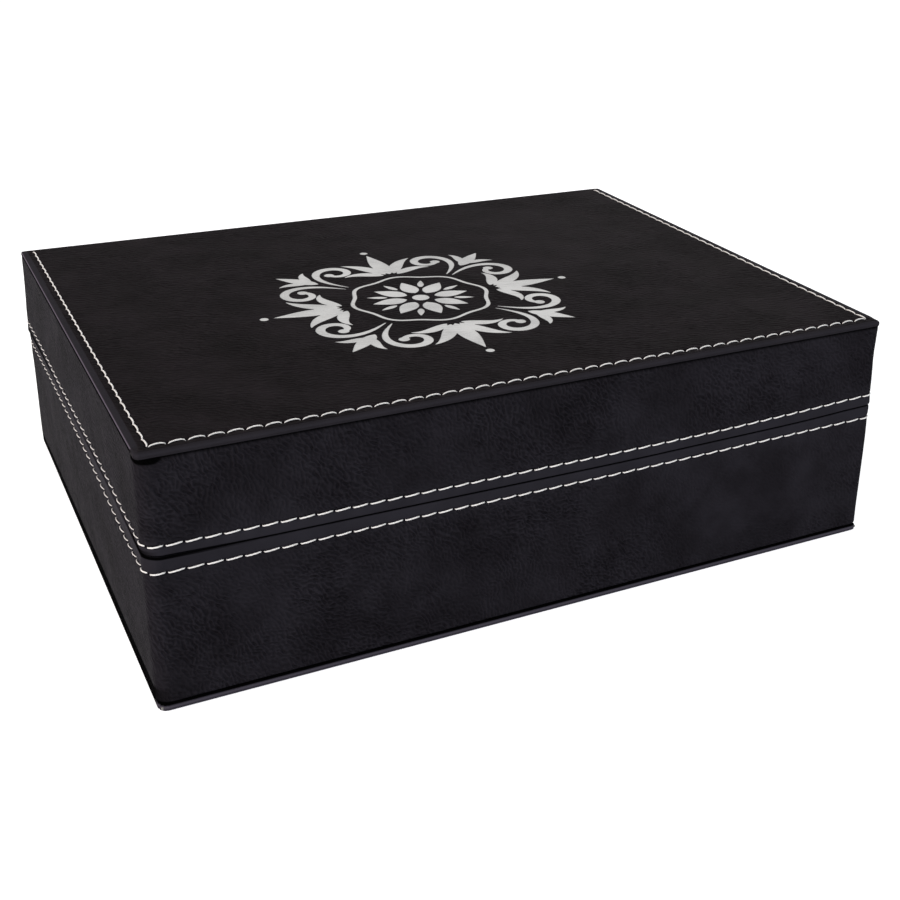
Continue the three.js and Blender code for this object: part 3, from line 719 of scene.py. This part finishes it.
class Wall:
    """The wrap of a tray: a loop of stations, and a section from its root over the rim to the turn-in."""

    def __init__(self, box, lid, row_height):
        self.low, self.high = box
        self.lid = lid
        self.rim, root = (self.low.z, self.high.z) if lid else (self.high.z, self.low.z)
        self.root_round, self.rim_round = (LID_ROOT, LID_RIM) if lid else (BASE_ROOT, BASE_RIM)
        self.to_root = math.copysign(1, root - self.rim)
        self.height = abs(root - self.rim)
        self.row_depth = abs(row_height - self.rim)
        self.spreads, self.row_line = (LID_SPREAD, LID_ROW_LINE) if lid else (BASE_SPREAD, BASE_ROW_LINE)
        across, back = self.high.x - self.low.x, self.high.y - self.low.y
        rounds = WALL_CORNERS
        lengths = []
        for k, size in enumerate((back, across, back, across)):
            lengths += [rounds[k] * QUARTER, size - rounds[k] - rounds[(k + 1) % 4]]
        self.holes = hole_places(lengths[0], sum(lengths[:6]))
        self.left_end = lengths[0] + lengths[1]
        self.row = Row(self.holes)
        self.stations = []
        start = 0
        for number, length in enumerate(lengths):
            end = start + length
            if 0 < number < 6:
                places = [start, *stitched_stations(self.holes, start, end)]
                if number % 2 == 0:
                    places += [start + length * share for share in CORNER_SHARES]
            else:
                count = 40 if number == 7 else 8
                places = [start + length * k / count for k in range(count)]
            self.stations += [(number, (place - start) / length, place) for place in sorted(places)]
            start = end

    def at(self, number, share, inset):
        """The point and outward normal in plan of a station at this inset."""
        corners = []
        for rear, right in ((1, 0), (0, 0), (0, 1), (1, 1)):
            radius = max(WALL_CORNERS[len(corners)] - inset, 0.3)
            x = self.high.x - inset - radius if right else self.low.x + inset + radius
            y = self.high.y - inset - radius if rear else self.low.y + inset + radius
            corners.append((Vector((x, y)), radius))
        k = number // 2
        centre, radius = corners[k]
        if number % 2 == 0:
            angle = QUARTER + QUARTER * (k + share)
            normal = Vector((math.cos(angle), math.sin(angle)))
            return centre + normal * radius, normal
        following, next_radius = corners[(k + 1) % 4]
        angle = QUARTER * (k + 2)
        normal = Vector((round(math.cos(angle)), round(math.sin(angle))))
        start, end = centre + normal * radius, following + normal * next_radius
        return start.lerp(end, share), normal

    def spread(self, x, y, down):
        """How far a side wall stands out at a place in plan."""
        rear_rim, rear_root, front_rim, front_root = self.spreads[x > 0]
        share = (self.high.y - y) / (self.high.y - self.low.y)
        t = down / self.height
        out = (rear_rim + (rear_root - rear_rim) * t) * (1 - share) ** 2
        out += (front_rim + (front_root - front_rim) * t) * share**2
        out += SIDE_BOW * math.sin(math.pi * share) * smooth(self.height - down, 0, LEVEL_ROOT[1])
        return math.copysign(out, x) * smooth(self.high.x - abs(x), *SIDE_REACH)

    def rise(self, number, share, down):
        """How far the rim and the row wander off level."""
        if not 0 < number < 6:
            return 0
        place = number // 2 + (share if number % 2 else 0)
        rim, row = on_line(RIM_LINE, place), on_line(self.row_line, place)
        rise = rim + (row - rim) * smooth(down, 0, self.row_depth - CHANNEL_HALF)
        return rise * smooth(self.height - down, *LEVEL_ROOT)

    def place(self, number, share, down, inset):
        """The point of a station's outer face, and its outward normal."""
        rise = self.rise(number, share, down)
        if number == 2:
            inset += CORNER_GIVE * math.sin(math.pi * share) * smooth(down, GIVE_HEIGHT, 0)
        from_root = self.height - down
        at_side = {2: 1 - smooth(share, 0, 0.4), 3: 0, 4: smooth(share, 0.6, 1)}.get(number, 1)
        if from_root < self.root_round[1]:
            held = smooth(min(share, 1 - share), 0, 0.03) if number == 3 else 0
            inset *= ROOT_HOLD + (1 - ROOT_HOLD) * held
        if self.lid:
            beside = at_side * smooth(from_root, 6, self.root_round[1])
            rise += ROOT_RISE * max(beside, 0.6 * smooth(from_root, 1.2, 0.2))
            rise += RIM_LIFT * self.near(number, share) * smooth(down, LIFT_HEIGHT, 0)
        point, normal = self.at(number, share, inset)
        x = point.x + self.spread(point.x, point.y, down)
        z = self.rim + self.to_root * down + rise
        return Vector((x, point.y, z)), Vector((*normal, 0))

    def near(self, number, share):
        """How near a station is to the near corner."""
        return {1: smooth(share, 0.75, 1), 2: 1, 3: smooth(share, 0.14, 0)}.get(number, 0)

    def marks(self, number, share, down, edge, dark):
        """The painted highlights and painted shade, with those of the left wall and the near corner."""
        left = {0: share, 1: 1, 2: 1 - share}.get(number, 0)
        near = self.near(number, share)
        from_root = self.height - down
        if not self.lid:
            edge = max(edge, LEFT_HIGHLIGHT_SHARE * left * smooth(down, *LEFT_HIGHLIGHT))
            return edge, max(dark, near * smooth(down, *NEAR_RIM_SHADE), left * smooth(from_root, *LEFT_FOOT_SHADE))
        if number in (1, 5) and down > self.height / 2:
            dark = 0
        elif number in (2, 3):
            low, more = NEAR_ROOT_SHADOW
            reach = low + more * {2: 1, 3: smooth(share, NEAR_ROOT_SHARE, 0)}[number]
            dark = max(dark, near * smooth(from_root, reach + 0.2, reach - 0.2))
        return edge, max(dark, left * smooth(down, *LEFT_RIM_SHADE))

    def bulge(self, along, down):
        wave = math.sin(along / 29 + 0.7) * math.sin(down / 13 + 0.3) + 0.5 * math.sin(along / 13 + down / 9)
        keep = smooth(down, self.row_depth + 2, self.row_depth + 9) * smooth(self.height - down, 1, 7)
        return 0.1 * wave * keep

    def section(self):
        """(inset, distance from the rim, painted light, painted shade) outside, then inside the sheet."""
        h, (lean, rise) = self.height, self.rim_round
        root_in, root_along = self.root_round

        def band(d):
            over_row = self.row_depth - d
            return 0.15 * smooth(over_row, -6, -2) + 0.35 * smooth(over_row, -1, 1)

        shade_mark, straight = LID_ROOT_SHADE if self.lid else BASE_ROOT_SHADE, h - root_along
        outer = []
        # painted shade in the root's groove
        for s, c in quarter(8):
            outer.append((root_in * (1 - s), h - root_along * (1 - c), 0, shade_mark * smooth(s, 1.0, 0.7)))
        outer += [(0, straight - d, 0, 0) for d in ROOT_LINES]
        channel = [self.row_depth - off for off in CHANNEL_LINES]
        open_wall = spaced(straight - ROOT_LINES[-1], channel[0], 4)[1:-1]
        outer += [(0, d, band(d), 0) for d in [*open_wall, *channel]]
        low = channel[-1]
        if low > rise + 0.3:
            outer += [(0, d, band(d), 0) for d in spaced(low, rise, 0.6)[1:]]
        start = outer[-1][1]
        # the rim's rounding is painted lighter as a highlight, and painted shade darkens the rim and the turn-in
        # beside it, in the parting line's gap
        outer += [(lean * (1 - c), start * (1 - s), 0.5, smooth(s, 0.75, 1)) for s, c in quarter(8)[1:]]
        flat_end = TURN_IN_INNER - 0.7
        flat = (lean + 0.7, *spaced(lean + 1.5, flat_end, 2))
        outer += [(a, 0, 0.2, smooth(a, lean + 1.5, lean)) for a in flat]
        outer += [(flat_end + 0.7 * s, 0.7 * (1 - c), 0.3, 0) for s, c in quarter(4)[1:]]
        end = h * TURN_IN_SHARE
        outer += [(TURN_IN_INNER, d, 0, 0) for d in spaced(0.7, end, 3)[1:]]
        inner = [(TURN_IN_OUTER, end), (TURN_IN_OUTER, SHEET + 0.2), (TURN_IN_OUTER - 0.2, SHEET)]
        inner += [(SHEET + lean - lean * c, SHEET + 4 * (1 - s)) for s, c in reversed(quarter(5))]
        inner.append((SHEET, h))
        return outer, [(inset, down, 0, 0) for inset, down in inner]

    def build(self):
        wrap = Build()
        outer, inner = self.section()
        rows, run = [], 0
        previous = None
        for index, (inset, down, edge, dark) in enumerate([*outer, *inner]):
            outside = index < len(outer)
            if previous:
                run += math.dist(previous, (inset, down))
            previous = (inset, down)
            numbers = []
            for number, share, along in self.stations:
                pressed, painted_shade, swell = 0, 0, 0
                if outside and inset == 0:
                    swell = self.bulge(along, down)
                    if abs(down - self.row_depth) < 4:
                        pressed, painted_shade = self.row.relief(along, down - self.row_depth)
                        if number % 2 == 0:
                            pressed = min(pressed, 0.3)
                if outside and inset < TURN_IN_OUTER:
                    point = self.place(number, share, down, inset + pressed + swell)[0]
                else:
                    point = self.at(number, share, inset)[0]
                    point = Vector((*point, self.rim + self.to_root * down))
                v = -run if self.lid else run
                light, shade_mark = edge, dark
                if outside and inset < MARKED_RIM:
                    light, shade_mark = self.marks(number, share, down, edge, dark)
                numbers.append(wrap.add(point, (along, v), light, max(painted_shade, shade_mark)))
            rows.append(numbers)
        wrap.grid(rows, closed_rows=True, closed_columns=True)
        return wrap


# Stitches


def add_stitch(thread, path_at, across_at, out_at, slant, crown, radius):
    """A closed twisted stitch along path_at(u). across_at(u) and out_at(u) are the directions beside it."""
    rows = []
    for k in range(THREAD_STEPS + 1):
        u = k / THREAD_STEPS
        rise = crown * math.sin(math.pi * u) ** 0.4 - THREAD_SUNK
        drift = slant * (u - 0.5) - HOOK * smooth(u, 0.86, 1) + 0.1 * math.sin(math.pi * u)
        across, out = across_at(u), out_at(u)
        centre = path_at(u) + across * drift + out * rise
        size = radius * (0.72 + 0.28 * math.sin(math.pi * u) ** 0.5)
        numbers = []
        for j in range(THREAD_SIDES):
            angle = TAU * j / THREAD_SIDES
            ply = 1 + PLY_DEPTH * math.cos(PLIES * (angle - PLY_TWIST * u))
            point = centre + (across * math.cos(angle) + out * 0.85 * math.sin(angle)) * size * ply
            numbers.append(thread.add(point, (angle * radius, u * PITCH)))
        rows.append(numbers)
    thread.grid(rows, closed_columns=True)
    thread.faces += [rows[0][::-1], rows[-1]]


def wall_stitches(wall):
    thread = Build()
    places = [along for _, _, along in wall.stations]

    def locate(along):
        k = max(0, int(np.searchsorted(places, along, "right")) - 1)
        number, share, start = wall.stations[k]
        if k + 1 < len(wall.stations):
            after = wall.stations[k + 1]
            reach = (after[1] if after[0] == number else 1.0) - share
            share += reach * (along - start) / (after[2] - start)
        return wall.place(number, share, wall.row_depth, CHANNEL_DEPTH * THREAD_BED)

    up = Vector((0, 0, 1))
    for a, b in zip(wall.holes, wall.holes[1:]):
        start, end = a + WALL_GAP / 2, b - WALL_GAP / 2

        def path_at(u, start=start, end=end):
            return locate(start + (end - start) * u)[0]

        def out_at(u, start=start, end=end):
            return locate(start + (end - start) * u)[1]

        radius = THREAD_RADIUS * (LEFT_PULL if b < wall.left_end else 1)
        add_stitch(thread, path_at, lambda u: up, out_at, WALL_SLANT, WALL_CROWN, radius)
    return thread


def top_stitches(case):
    thread = Build()
    up = Vector((0, 0, 1))
    left, right = TOP_ROW_LEFT, WIDTH - TOP_ROW_RIGHT
    runs = [((left, t), (left, s)) for t, s in zip(case.side_ends[1:], case.side_ends)][::-1]
    runs += [((x, TOP_ROW_FRONT), (w, TOP_ROW_FRONT)) for x, w in zip(case.front_ends, case.front_ends[1:])]
    runs += [((right, t), (right, s)) for t, s in zip(case.side_ends, case.side_ends[1:])]
    for a, b in runs:
        a, b = Vector((*a, 0)), Vector((*b, 0))
        along = (b - a).normalized()
        across = up.cross(along)
        start, end = a + along * TOP_GAP / 2, b - along * TOP_GAP / 2

        def path_at(u, start=start, end=end):
            p = start.lerp(end, u)
            return Vector(case.bent(p.x, p.y, CHANNEL_DEPTH * THREAD_BED))

        def across_at(u, across=across):
            return across

        add_stitch(thread, path_at, across_at, lambda u: up, TOP_SLANT, TOP_CROWN, THREAD_RADIUS)
    return thread


# Slabs with rounded edges: pads, liners and the fold


def slab(low, high, radius, step, shape=None):
    """A rounded box. `step` is the mesh spacing on each axis, and `shape` may move each point."""
    soft = Build()
    size = high - low
    rounds = [min(radius, side / 2) for side in size]
    thin = min(range(3), key=lambda axis: size[axis])
    lines = []
    for r, side, spacing in zip(rounds, size, step):
        edge = [0, 0.3 * r, 0.65 * r]
        line = [*edge, *spaced(r, side - r, spacing), *(side - e for e in edge)]
        lines.append(sorted({round(value, 5) for value in line}))
    found = {}

    def number(place):
        if place not in found:
            p = Vector(lines[axis][k] for axis, k in enumerate(place))
            core = Vector(min(max(value, r), side - r) for value, r, side in zip(p, rounds, size))
            away = p - core
            if away.length > 1e-9:
                away = away.normalized() * min(rounds)
            p = low + core + away
            found[place] = soft.add(shape(p) if shape else p, [p[axis] for axis in range(3) if axis != thin])
        return found[place]

    for axis in range(3):
        u, v = [a for a in range(3) if a != axis]
        for end in (0, len(lines[axis]) - 1):
            for i in range(len(lines[u]) - 1):
                for j in range(len(lines[v]) - 1):
                    corners = []
                    for du, dv in ((0, 0), (1, 0), (1, 1), (0, 1)):
                        place = [0, 0, 0]
                        place[axis], place[u], place[v] = end, i + du, j + dv
                        corners.append(number(tuple(place)))
                    soft.faces.append(corners if end else corners[::-1])
    return soft


# Materials


class Nodes:
    """Short names for building a material's node tree."""

    def __init__(self, name):
        self.material = bpy.data.materials.new(name)
        self.material.use_nodes = True
        self.tree = self.material.node_tree
        self.shader = self.tree.nodes["Principled BSDF"]

    def new(self, kind, settings=None, **inputs):
        made = self.tree.nodes.new(kind)
        for key, value in (settings or {}).items():
            setattr(made, key, value)
        for key, value in inputs.items():
            self.put(made.inputs[int(key[1:])] if key[0] == "_" else made.inputs[key], value)
        return made

    def put(self, socket, value):
        if isinstance(value, bpy.types.NodeSocket):
            self.tree.links.new(value, socket)
        else:
            socket.default_value = value

    def math(self, operation, a, b=0.0, c=0.0):
        return self.new("ShaderNodeMath", {"operation": operation}, _0=a, _1=b, _2=c).outputs[0]

    def times(self, a, b):
        return self.math("MULTIPLY", a, b)

    def plus(self, a, b):
        return self.math("ADD", a, b)

    def vector(self, operation, a, b=(0, 0, 0), scale=None):
        made = self.new("ShaderNodeVectorMath", {"operation": operation}, _0=a, _1=b)
        if scale is not None:
            self.put(made.inputs["Scale"], scale)
        return made.outputs[0]

    def noise(self, place, size, detail=2.0, rough=0.5, colour=False):
        settings = {"Scale": 1 / size, "Detail": detail, "Roughness": rough}
        made = self.new("ShaderNodeTexNoise", None, Vector=place, **settings)
        return made.outputs["Color" if colour else "Fac"]

    def ramp(self, value, low, high, bottom=0.0, top=1.0):
        eased = {"interpolation_type": "SMOOTHSTEP"}
        return self.new("ShaderNodeMapRange", eased, _0=value, _1=low, _2=high, _3=bottom, _4=top).outputs[0]

    def mix(self, share, a, b):
        made = self.new("ShaderNodeMix", {"data_type": "RGBA"}, Factor=share)
        self.put(made.inputs[6], a)
        self.put(made.inputs[7], b)
        return made.outputs[2]

    def mark(self, name):
        return self.new("ShaderNodeAttribute", {"attribute_name": name}).outputs["Fac"]

    def place(self, on_sheet):
        """Position in millimetres: on the unrolled sheet, or in the object."""
        if on_sheet:
            source = self.new("ShaderNodeUVMap", {"uv_map": "Sheet"}).outputs[0]
        else:
            source = self.new("ShaderNodeTexCoord").outputs["Object"]
        return self.vector("SCALE", source, scale=1 / MM)

    def bump(self, height, distance):
        made = self.new("ShaderNodeBump", None, Height=height, Distance=distance * MM, Strength=1.0)
        self.put(self.shader.inputs["Normal"], made.outputs[0])

    def finish(self, colour, roughness, specular, **fixed):
        self.put(self.shader.inputs["Base Color"], colour)
        self.put(self.shader.inputs["Roughness"], roughness)
        self.shader.inputs["Specular IOR Level"].default_value = specular
        for name, value in fixed.items():
            self.shader.inputs[name.replace("_", " ")].default_value = value
        return self.material


def rgb(red, green, blue):
    """A colour from its sRGB bytes."""
    shares = [c / 255 for c in (red, green, blue)]
    return (*(((c + 0.055) / 1.055) ** 2.4 if c > 0.04 else c / 12.92 for c in shares), 1)


SWERVE = 2.0  # how far the ripples turn over the sheet
# Grain: heading of the ripples, their spacing, how drawn out they are, and (x, y, reach) of a calm area
TOP_GRAIN = (-0.45, 1.8, 0.8, (170, 150, 75))
WALL_GRAIN = (-0.8, 1.4, 0.62, (400, 40, 60))


def wrinkles(n, place, angle, size, drawn_out, calm):
    """Short soft ripples about `size` apart that wander over the sheet: (height, painted shade in the creases).
    `calm` is (x, y, reach) of the area where they fade."""
    close = n.vector("SUBTRACT", n.noise(place, 7, 2, colour=True), (0.5, 0.5, 0.5))
    bent = n.vector("ADD", place, n.vector("SCALE", close, scale=3))
    drawn = n.vector("SCALE", bent, scale=1 / size)
    heading = n.math("MULTIPLY_ADD", n.noise(place, 48, 1), SWERVE, angle + QUARTER - SWERVE / 2)
    shape = {"Scale": 0.7, "Frequency": 1.4, "Anisotropy": drawn_out}
    ripples = n.new("ShaderNodeTexGabor", {"gabor_type": "2D"}, Vector=drawn, _4=heading, **shape)
    ripples = ripples.outputs["Value"]
    folds = n.noise(drawn, 1.3, 2, 0.6)
    x, y, reach = calm
    away = n.new("ShaderNodeVectorMath", {"operation": "DISTANCE"}, _0=place, _1=(x, y, 0)).outputs["Value"]
    strong = n.ramp(n.noise(place, 30, 2, 0.6), 0.34, 0.62, 0.45, 1.0)
    shown = n.times(strong, n.ramp(away, 0.4 * reach, reach, 0.35, 1.0))
    shown = n.times(shown, n.ramp(n.mark("edge"), 0.0, 0.5, 1.0, 0.0))
    height = n.plus(n.times(ripples, 1.6), n.times(folds, 0.6))
    # painted shade in the creases of the ripples and folds
    dark = n.plus(n.ramp(ripples, 0.6, 0.4, 0.0, 0.6), n.ramp(folds, 0.5, 0.3, 0.0, 0.25))
    return n.times(height, shown), n.times(dark, shown)


def leather(name, dark, light, specular, grain):
    n = Nodes(name)
    place = n.place(True)
    height, crease = wrinkles(n, place, *grain)
    pores = n.noise(place, 0.32, 2)
    mottle = n.noise(place, 19, 3, 0.6)
    colour = n.mix(n.ramp(mottle, 0.3, 0.7), dark, light)
    # painted shade in the creases of the grain
    colour = n.mix(n.times(crease, 0.8), colour, tuple(0.3 * c for c in dark[:3]) + (1,))
    # the edge mark paints light: lighter along edges and rims, and painted highlight lines where it is strong
    colour = n.mix(n.times(n.mark("edge"), 0.8), colour, rgb(46, 45, 50))
    colour = n.mix(n.ramp(n.mark("edge"), 0.7, 1.0), colour, rgb(92, 86, 96))
    # painted shade: black in needle holes, grooves, the parting line and on and under the panels' edges
    colour = n.mix(n.mark("painted_shade"), colour, rgb(3, 3, 3))
    n.bump(n.plus(height, n.times(pores, 0.12)), 0.8)
    roughness = n.math("MAXIMUM", n.plus(0.42, n.times(pores, 0.15)), n.mark("painted_shade"))
    return n.finish(colour, roughness, specular)


def thread_material():
    n = Nodes("thread")
    place = n.place(True)
    slanting = {"bands_direction": "DIAGONAL"}
    strands = n.new("ShaderNodeTexWave", slanting, Vector=place, Scale=1.9, Distortion=1.5, Detail=1.0)
    strands = strands.outputs["Fac"]
    fuzz = n.noise(place, 0.4, 2)
    colour = n.mix(n.times(strands, 0.5), rgb(246, 243, 238), rgb(206, 200, 190))
    colour = n.mix(n.ramp(fuzz, 0.55, 0.8, 0, 0.3), colour, rgb(180, 174, 165))
    n.bump(n.plus(strands, n.times(fuzz, 0.3)), 0.06)
    return n.finish(colour, 0.6, 0.3, Sheen_Weight=0.2)


def engraved_material():
    n = Nodes("engraving")
    place = n.place(True)
    height, _ = wrinkles(n, place, *TOP_GRAIN)
    scan = n.noise(place, 0.5, 3, 0.7)
    patch = n.noise(place, 9, 2)
    tone = n.plus(n.times(scan, 0.6), n.times(patch, 0.4))
    tone = n.plus(tone, n.times(height, 0.2))
    colour = n.mix(n.ramp(tone, 0.35, 0.8), rgb(168, 168, 166), rgb(208, 208, 205))
    n.bump(n.plus(height, n.times(scan, 0.4)), 0.1)
    return n.finish(colour, n.plus(0.5, n.times(scan, 0.25)), 0.3)


def velour_material():
    n = Nodes("velour")
    place = n.place(False)
    nap = n.noise(place, 0.35, 3, 0.7)
    brushed = n.noise(place, 18, 2)
    tone = n.plus(n.times(nap, 0.5), n.times(brushed, 0.6))
    colour = n.mix(n.ramp(tone, 0.35, 0.8), rgb(15, 15, 17), rgb(34, 33, 37))
    n.bump(nap, 0.12)
    return n.finish(colour, 0.95, 0.1, Sheen_Weight=0.35, Sheen_Roughness=0.4)


def board_material(name, dark, light, fibre, stretch):
    """Pressed board: short fibres and darker specks."""
    n = Nodes(name)
    place = n.place(False)
    drawn = n.new("ShaderNodeMapping", None, Vector=place, Scale=stretch).outputs[0]
    fibres = n.noise(drawn, fibre, 4, 0.7)
    specks = n.ramp(n.noise(place, 0.8, 2), 0.62, 0.72)
    colour = n.mix(n.ramp(fibres, 0.3, 0.7), dark, light)
    colour = n.mix(n.times(specks, 0.4), colour, dark)
    n.bump(fibres, 0.05)
    return n.finish(colour, n.plus(0.8, n.times(fibres, 0.15)), 0.2)


def magnet_material():
    n = Nodes("magnet")
    place = n.place(False)
    brushed = n.noise(n.new("ShaderNodeMapping", None, Vector=place, Scale=(0.2, 1, 3)).outputs[0], 0.5, 3)
    colour = n.mix(brushed, rgb(172, 172, 168), rgb(196, 195, 190))
    n.bump(brushed, 0.01)
    return n.finish(colour, n.plus(0.22, n.times(brushed, 0.15)), 0.5, Metallic=1.0)


# Studio


def make_studio():
    scene = bpy.context.scene
    scene.view_settings.view_transform = "Standard"
    world = bpy.data.worlds.new("studio")
    scene.world = world
    world.use_nodes = True
    tree = world.node_tree
    background = tree.nodes["Background"]
    rays = tree.nodes.new("ShaderNodeLightPath")
    seen = add_up(tree, rays)
    level = tree.nodes.new("ShaderNodeMapRange")
    tree.links.new(seen, level.inputs[0])
    level.inputs[3].default_value = WORLD_LEVEL
    level.inputs[4].default_value = 1.0
    background.inputs["Color"].default_value = (1, 1, 1, 1)
    tree.links.new(level.outputs[0], background.inputs["Strength"])

    half = FLOOR_SIZE / 2
    mesh = bpy.data.meshes.new("floor")
    corners = [(-half, -half, 0), (half, -half, 0), (half, half, 0), (-half, half, 0)]
    mesh.from_pydata(corners, [], [(0, 1, 2, 3)])
    floor = bpy.data.objects.new("floor", mesh)
    floor.location.z = -0.0002
    scene.collection.objects.link(floor)
    n = Nodes("floor")
    rays = n.new("ShaderNodeLightPath")
    grain = n.noise(n.place(False), 300, 1)
    colour = n.mix(grain, (0.8, 0.8, 0.8, 1), (0.82, 0.82, 0.82, 1))
    n.put(n.shader.inputs["Emission Color"], (1, 1, 1, 1))
    n.put(n.shader.inputs["Emission Strength"], n.times(add_up(n.tree, rays), FLOOR_GLOW))
    floor.data.materials.append(n.finish(colour, 0.9, 0.0))

    for name, place, target, size, power, colour in LAMPS:
        data = bpy.data.lights.new(name, "AREA")
        data.shape = "RECTANGLE"
        data.size, data.size_y = size
        data.energy = power
        data.color = colour
        lamp = bpy.data.objects.new(name, data)
        lamp.location = place
        lamp.rotation_euler = (Vector(target) - Vector(place)).to_track_quat("-Z", "Y").to_euler()
        scene.collection.objects.link(lamp)


def add_up(tree, rays):
    """1 for camera, glossy and transmission rays."""
    total = rays.outputs["Is Camera Ray"]
    for kind in ("Is Glossy Ray", "Is Transmission Ray"):
        add = tree.nodes.new("ShaderNodeMath")
        add.operation = "ADD"
        add.use_clamp = True
        tree.links.new(total, add.inputs[0])
        tree.links.new(rays.outputs[kind], add.inputs[1])
        total = add.outputs[0]
    return total


make_camera()

# Pieces

top_leather = leather("leatherette_top", rgb(27, 24, 25), rgb(35, 31, 33), 0.003, TOP_GRAIN)
wall_leather = leather("leatherette_wall", rgb(27, 25, 28), rgb(36, 34, 38), 0.0025, WALL_GRAIN)
thread = thread_material()
velour = velour_material()


def put(piece, body, *nodes, slot=None):
    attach(piece, body)
    if nodes:
        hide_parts(*nodes)
    return piece


top_case = Case(top_box, HEIGHT, -1, TOP_ROLL, PARTING + GROOVE_HALF, row=True)
top_sheet, inlay = top_case.build(ornament(top_case.front))
put(top_sheet.piece("top_case_sheet", top_leather), "lid", "top_cover", slot="leatherette")
put(inlay.piece("engraved_ornament", engraved_material()), "lid")
bottom_case = Case(bottom_box, 0, 1, BOTTOM_ROLL, PARTING - GROOVE_HALF, row=False)
bottom_sheet = bottom_case.build()[0].piece("bottom_case_sheet", wall_leather)
put(bottom_sheet, "base", "bottom_cover", slot="leatherette")

put(top_stitches(top_case).piece("top_stitches", thread), "lid", "top_stitching", slot="thread")
for body, row_height in (("lid", LID_ROW), ("base", BASE_ROW)):
    wall = Wall(node_box(f"{body}_cover"), body == "lid", row_height)
    wrap = wall.build().piece(f"{body}_wall_wrap", wall_leather)
    put(wrap, body, f"{body}_cover", slot="leatherette")
    put(wall_stitches(wall).piece(f"{body}_stitches", thread), body, f"{body}_stitching", slot="thread")

# Fold of the spine, between the two halves

FOLD_INSET = 2  # from the panels' sides
FOLD_LAP = 0.9  # behind each edge of the spine
FOLD_TURN = 2.2  # from the parting plane to each of the two points worked out from it below

fold_low = Vector((FOLD_INSET - WIDTH / 2, HINGE.y - SHEET, PARTING - GROOVE_HALF - FOLD_LAP))
fold_high = Vector((WIDTH / 2 - FOLD_INSET, HINGE.y, PARTING + GROOVE_HALF + FOLD_LAP))
fold = slab(fold_low, fold_high, 0.3, (10, 1, 0.3)).piece("spine_fold", wall_leather)
turn_start, turn_end = (Vector((0, HINGE.y, PARTING + side * FOLD_TURN)) * MM for side in (-1, 1))
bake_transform(fold)
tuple(turn_start)
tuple(turn_end)

# Pads and liners

PAD_ROUND = 1.6
PAD_DROP = 0.42  # share of its thickness by which a pad is lower at its edges
PAD_WAVE = 0.12
PAD_PULL = 0.1  # the middles of its sides draw in
PAD_REACH = 0.25  # it is pressed out to the liners


def pad(node, body, name, up):
    """A thin pad: highest in its middle, with sides that draw in between its corners."""
    low, high = node_box(node)
    centre, half = (low + high) / 2, (high - low) / 2

    def shape(p):
        x, y = (p.x - centre.x) / half.x, (p.y - centre.y) / half.y
        crown = (1 - abs(x) ** 5) * (1 - abs(y) ** 5)
        face = smooth((p.z - centre.z) * up / half.z, -1, 1)
        drop = (1 - crown) * PAD_DROP * (high.z - low.z) * face
        waves = PAD_WAVE * math.sin(p.x / 23 + 1) * math.sin(p.y / 19) * face
        pull = Vector((-x * (1 - y * y), -y * (1 - x * x), 0)) * PAD_PULL
        reach = Vector((x, y, 0)) * PAD_REACH
        return p + pull + reach + Vector((0, 0, -up * (drop + abs(waves))))

    made = slab(low, high, PAD_ROUND, (PANEL_STEP, PANEL_STEP, 1), shape).piece(name, velour, 180)
    put(made, body, node, slot="velour")


pad("base_floor_pad", "base", "base_pad", 1)
pad("lid_ceiling_pad", "lid", "lid_pad", -1)
for body in ("base", "lid"):
    for side in ("front", "rear", "left", "right"):
        node = f"{body}_{side}_liner"
        card = slab(*node_box(node), 0.6, (8, 8, 8)).piece(f"{body}_{side}_card", velour)
        put(card, body, node, slot="velour")

# CAD nodes that show or lie inside

fibreboard = board_material("fibreboard", rgb(128, 98, 66), rgb(176, 142, 102), 1.2, (0.4, 0.4, 1.5))
greyboard = board_material("greyboard", rgb(112, 109, 103), rgb(150, 147, 140), 0.9, (0.6, 0.6, 1))
magnet = magnet_material()
finishes = {"fibreboard": fibreboard, "greyboard": greyboard, "magnet": magnet}
for part in frame["record"]["subparts"]:
    node = frame["nodes"][part["node"]]
    if part["material_slot"] in finishes:
        node.data.materials.clear()
        node.data.materials.append(finishes[part["material_slot"]])

make_studio()
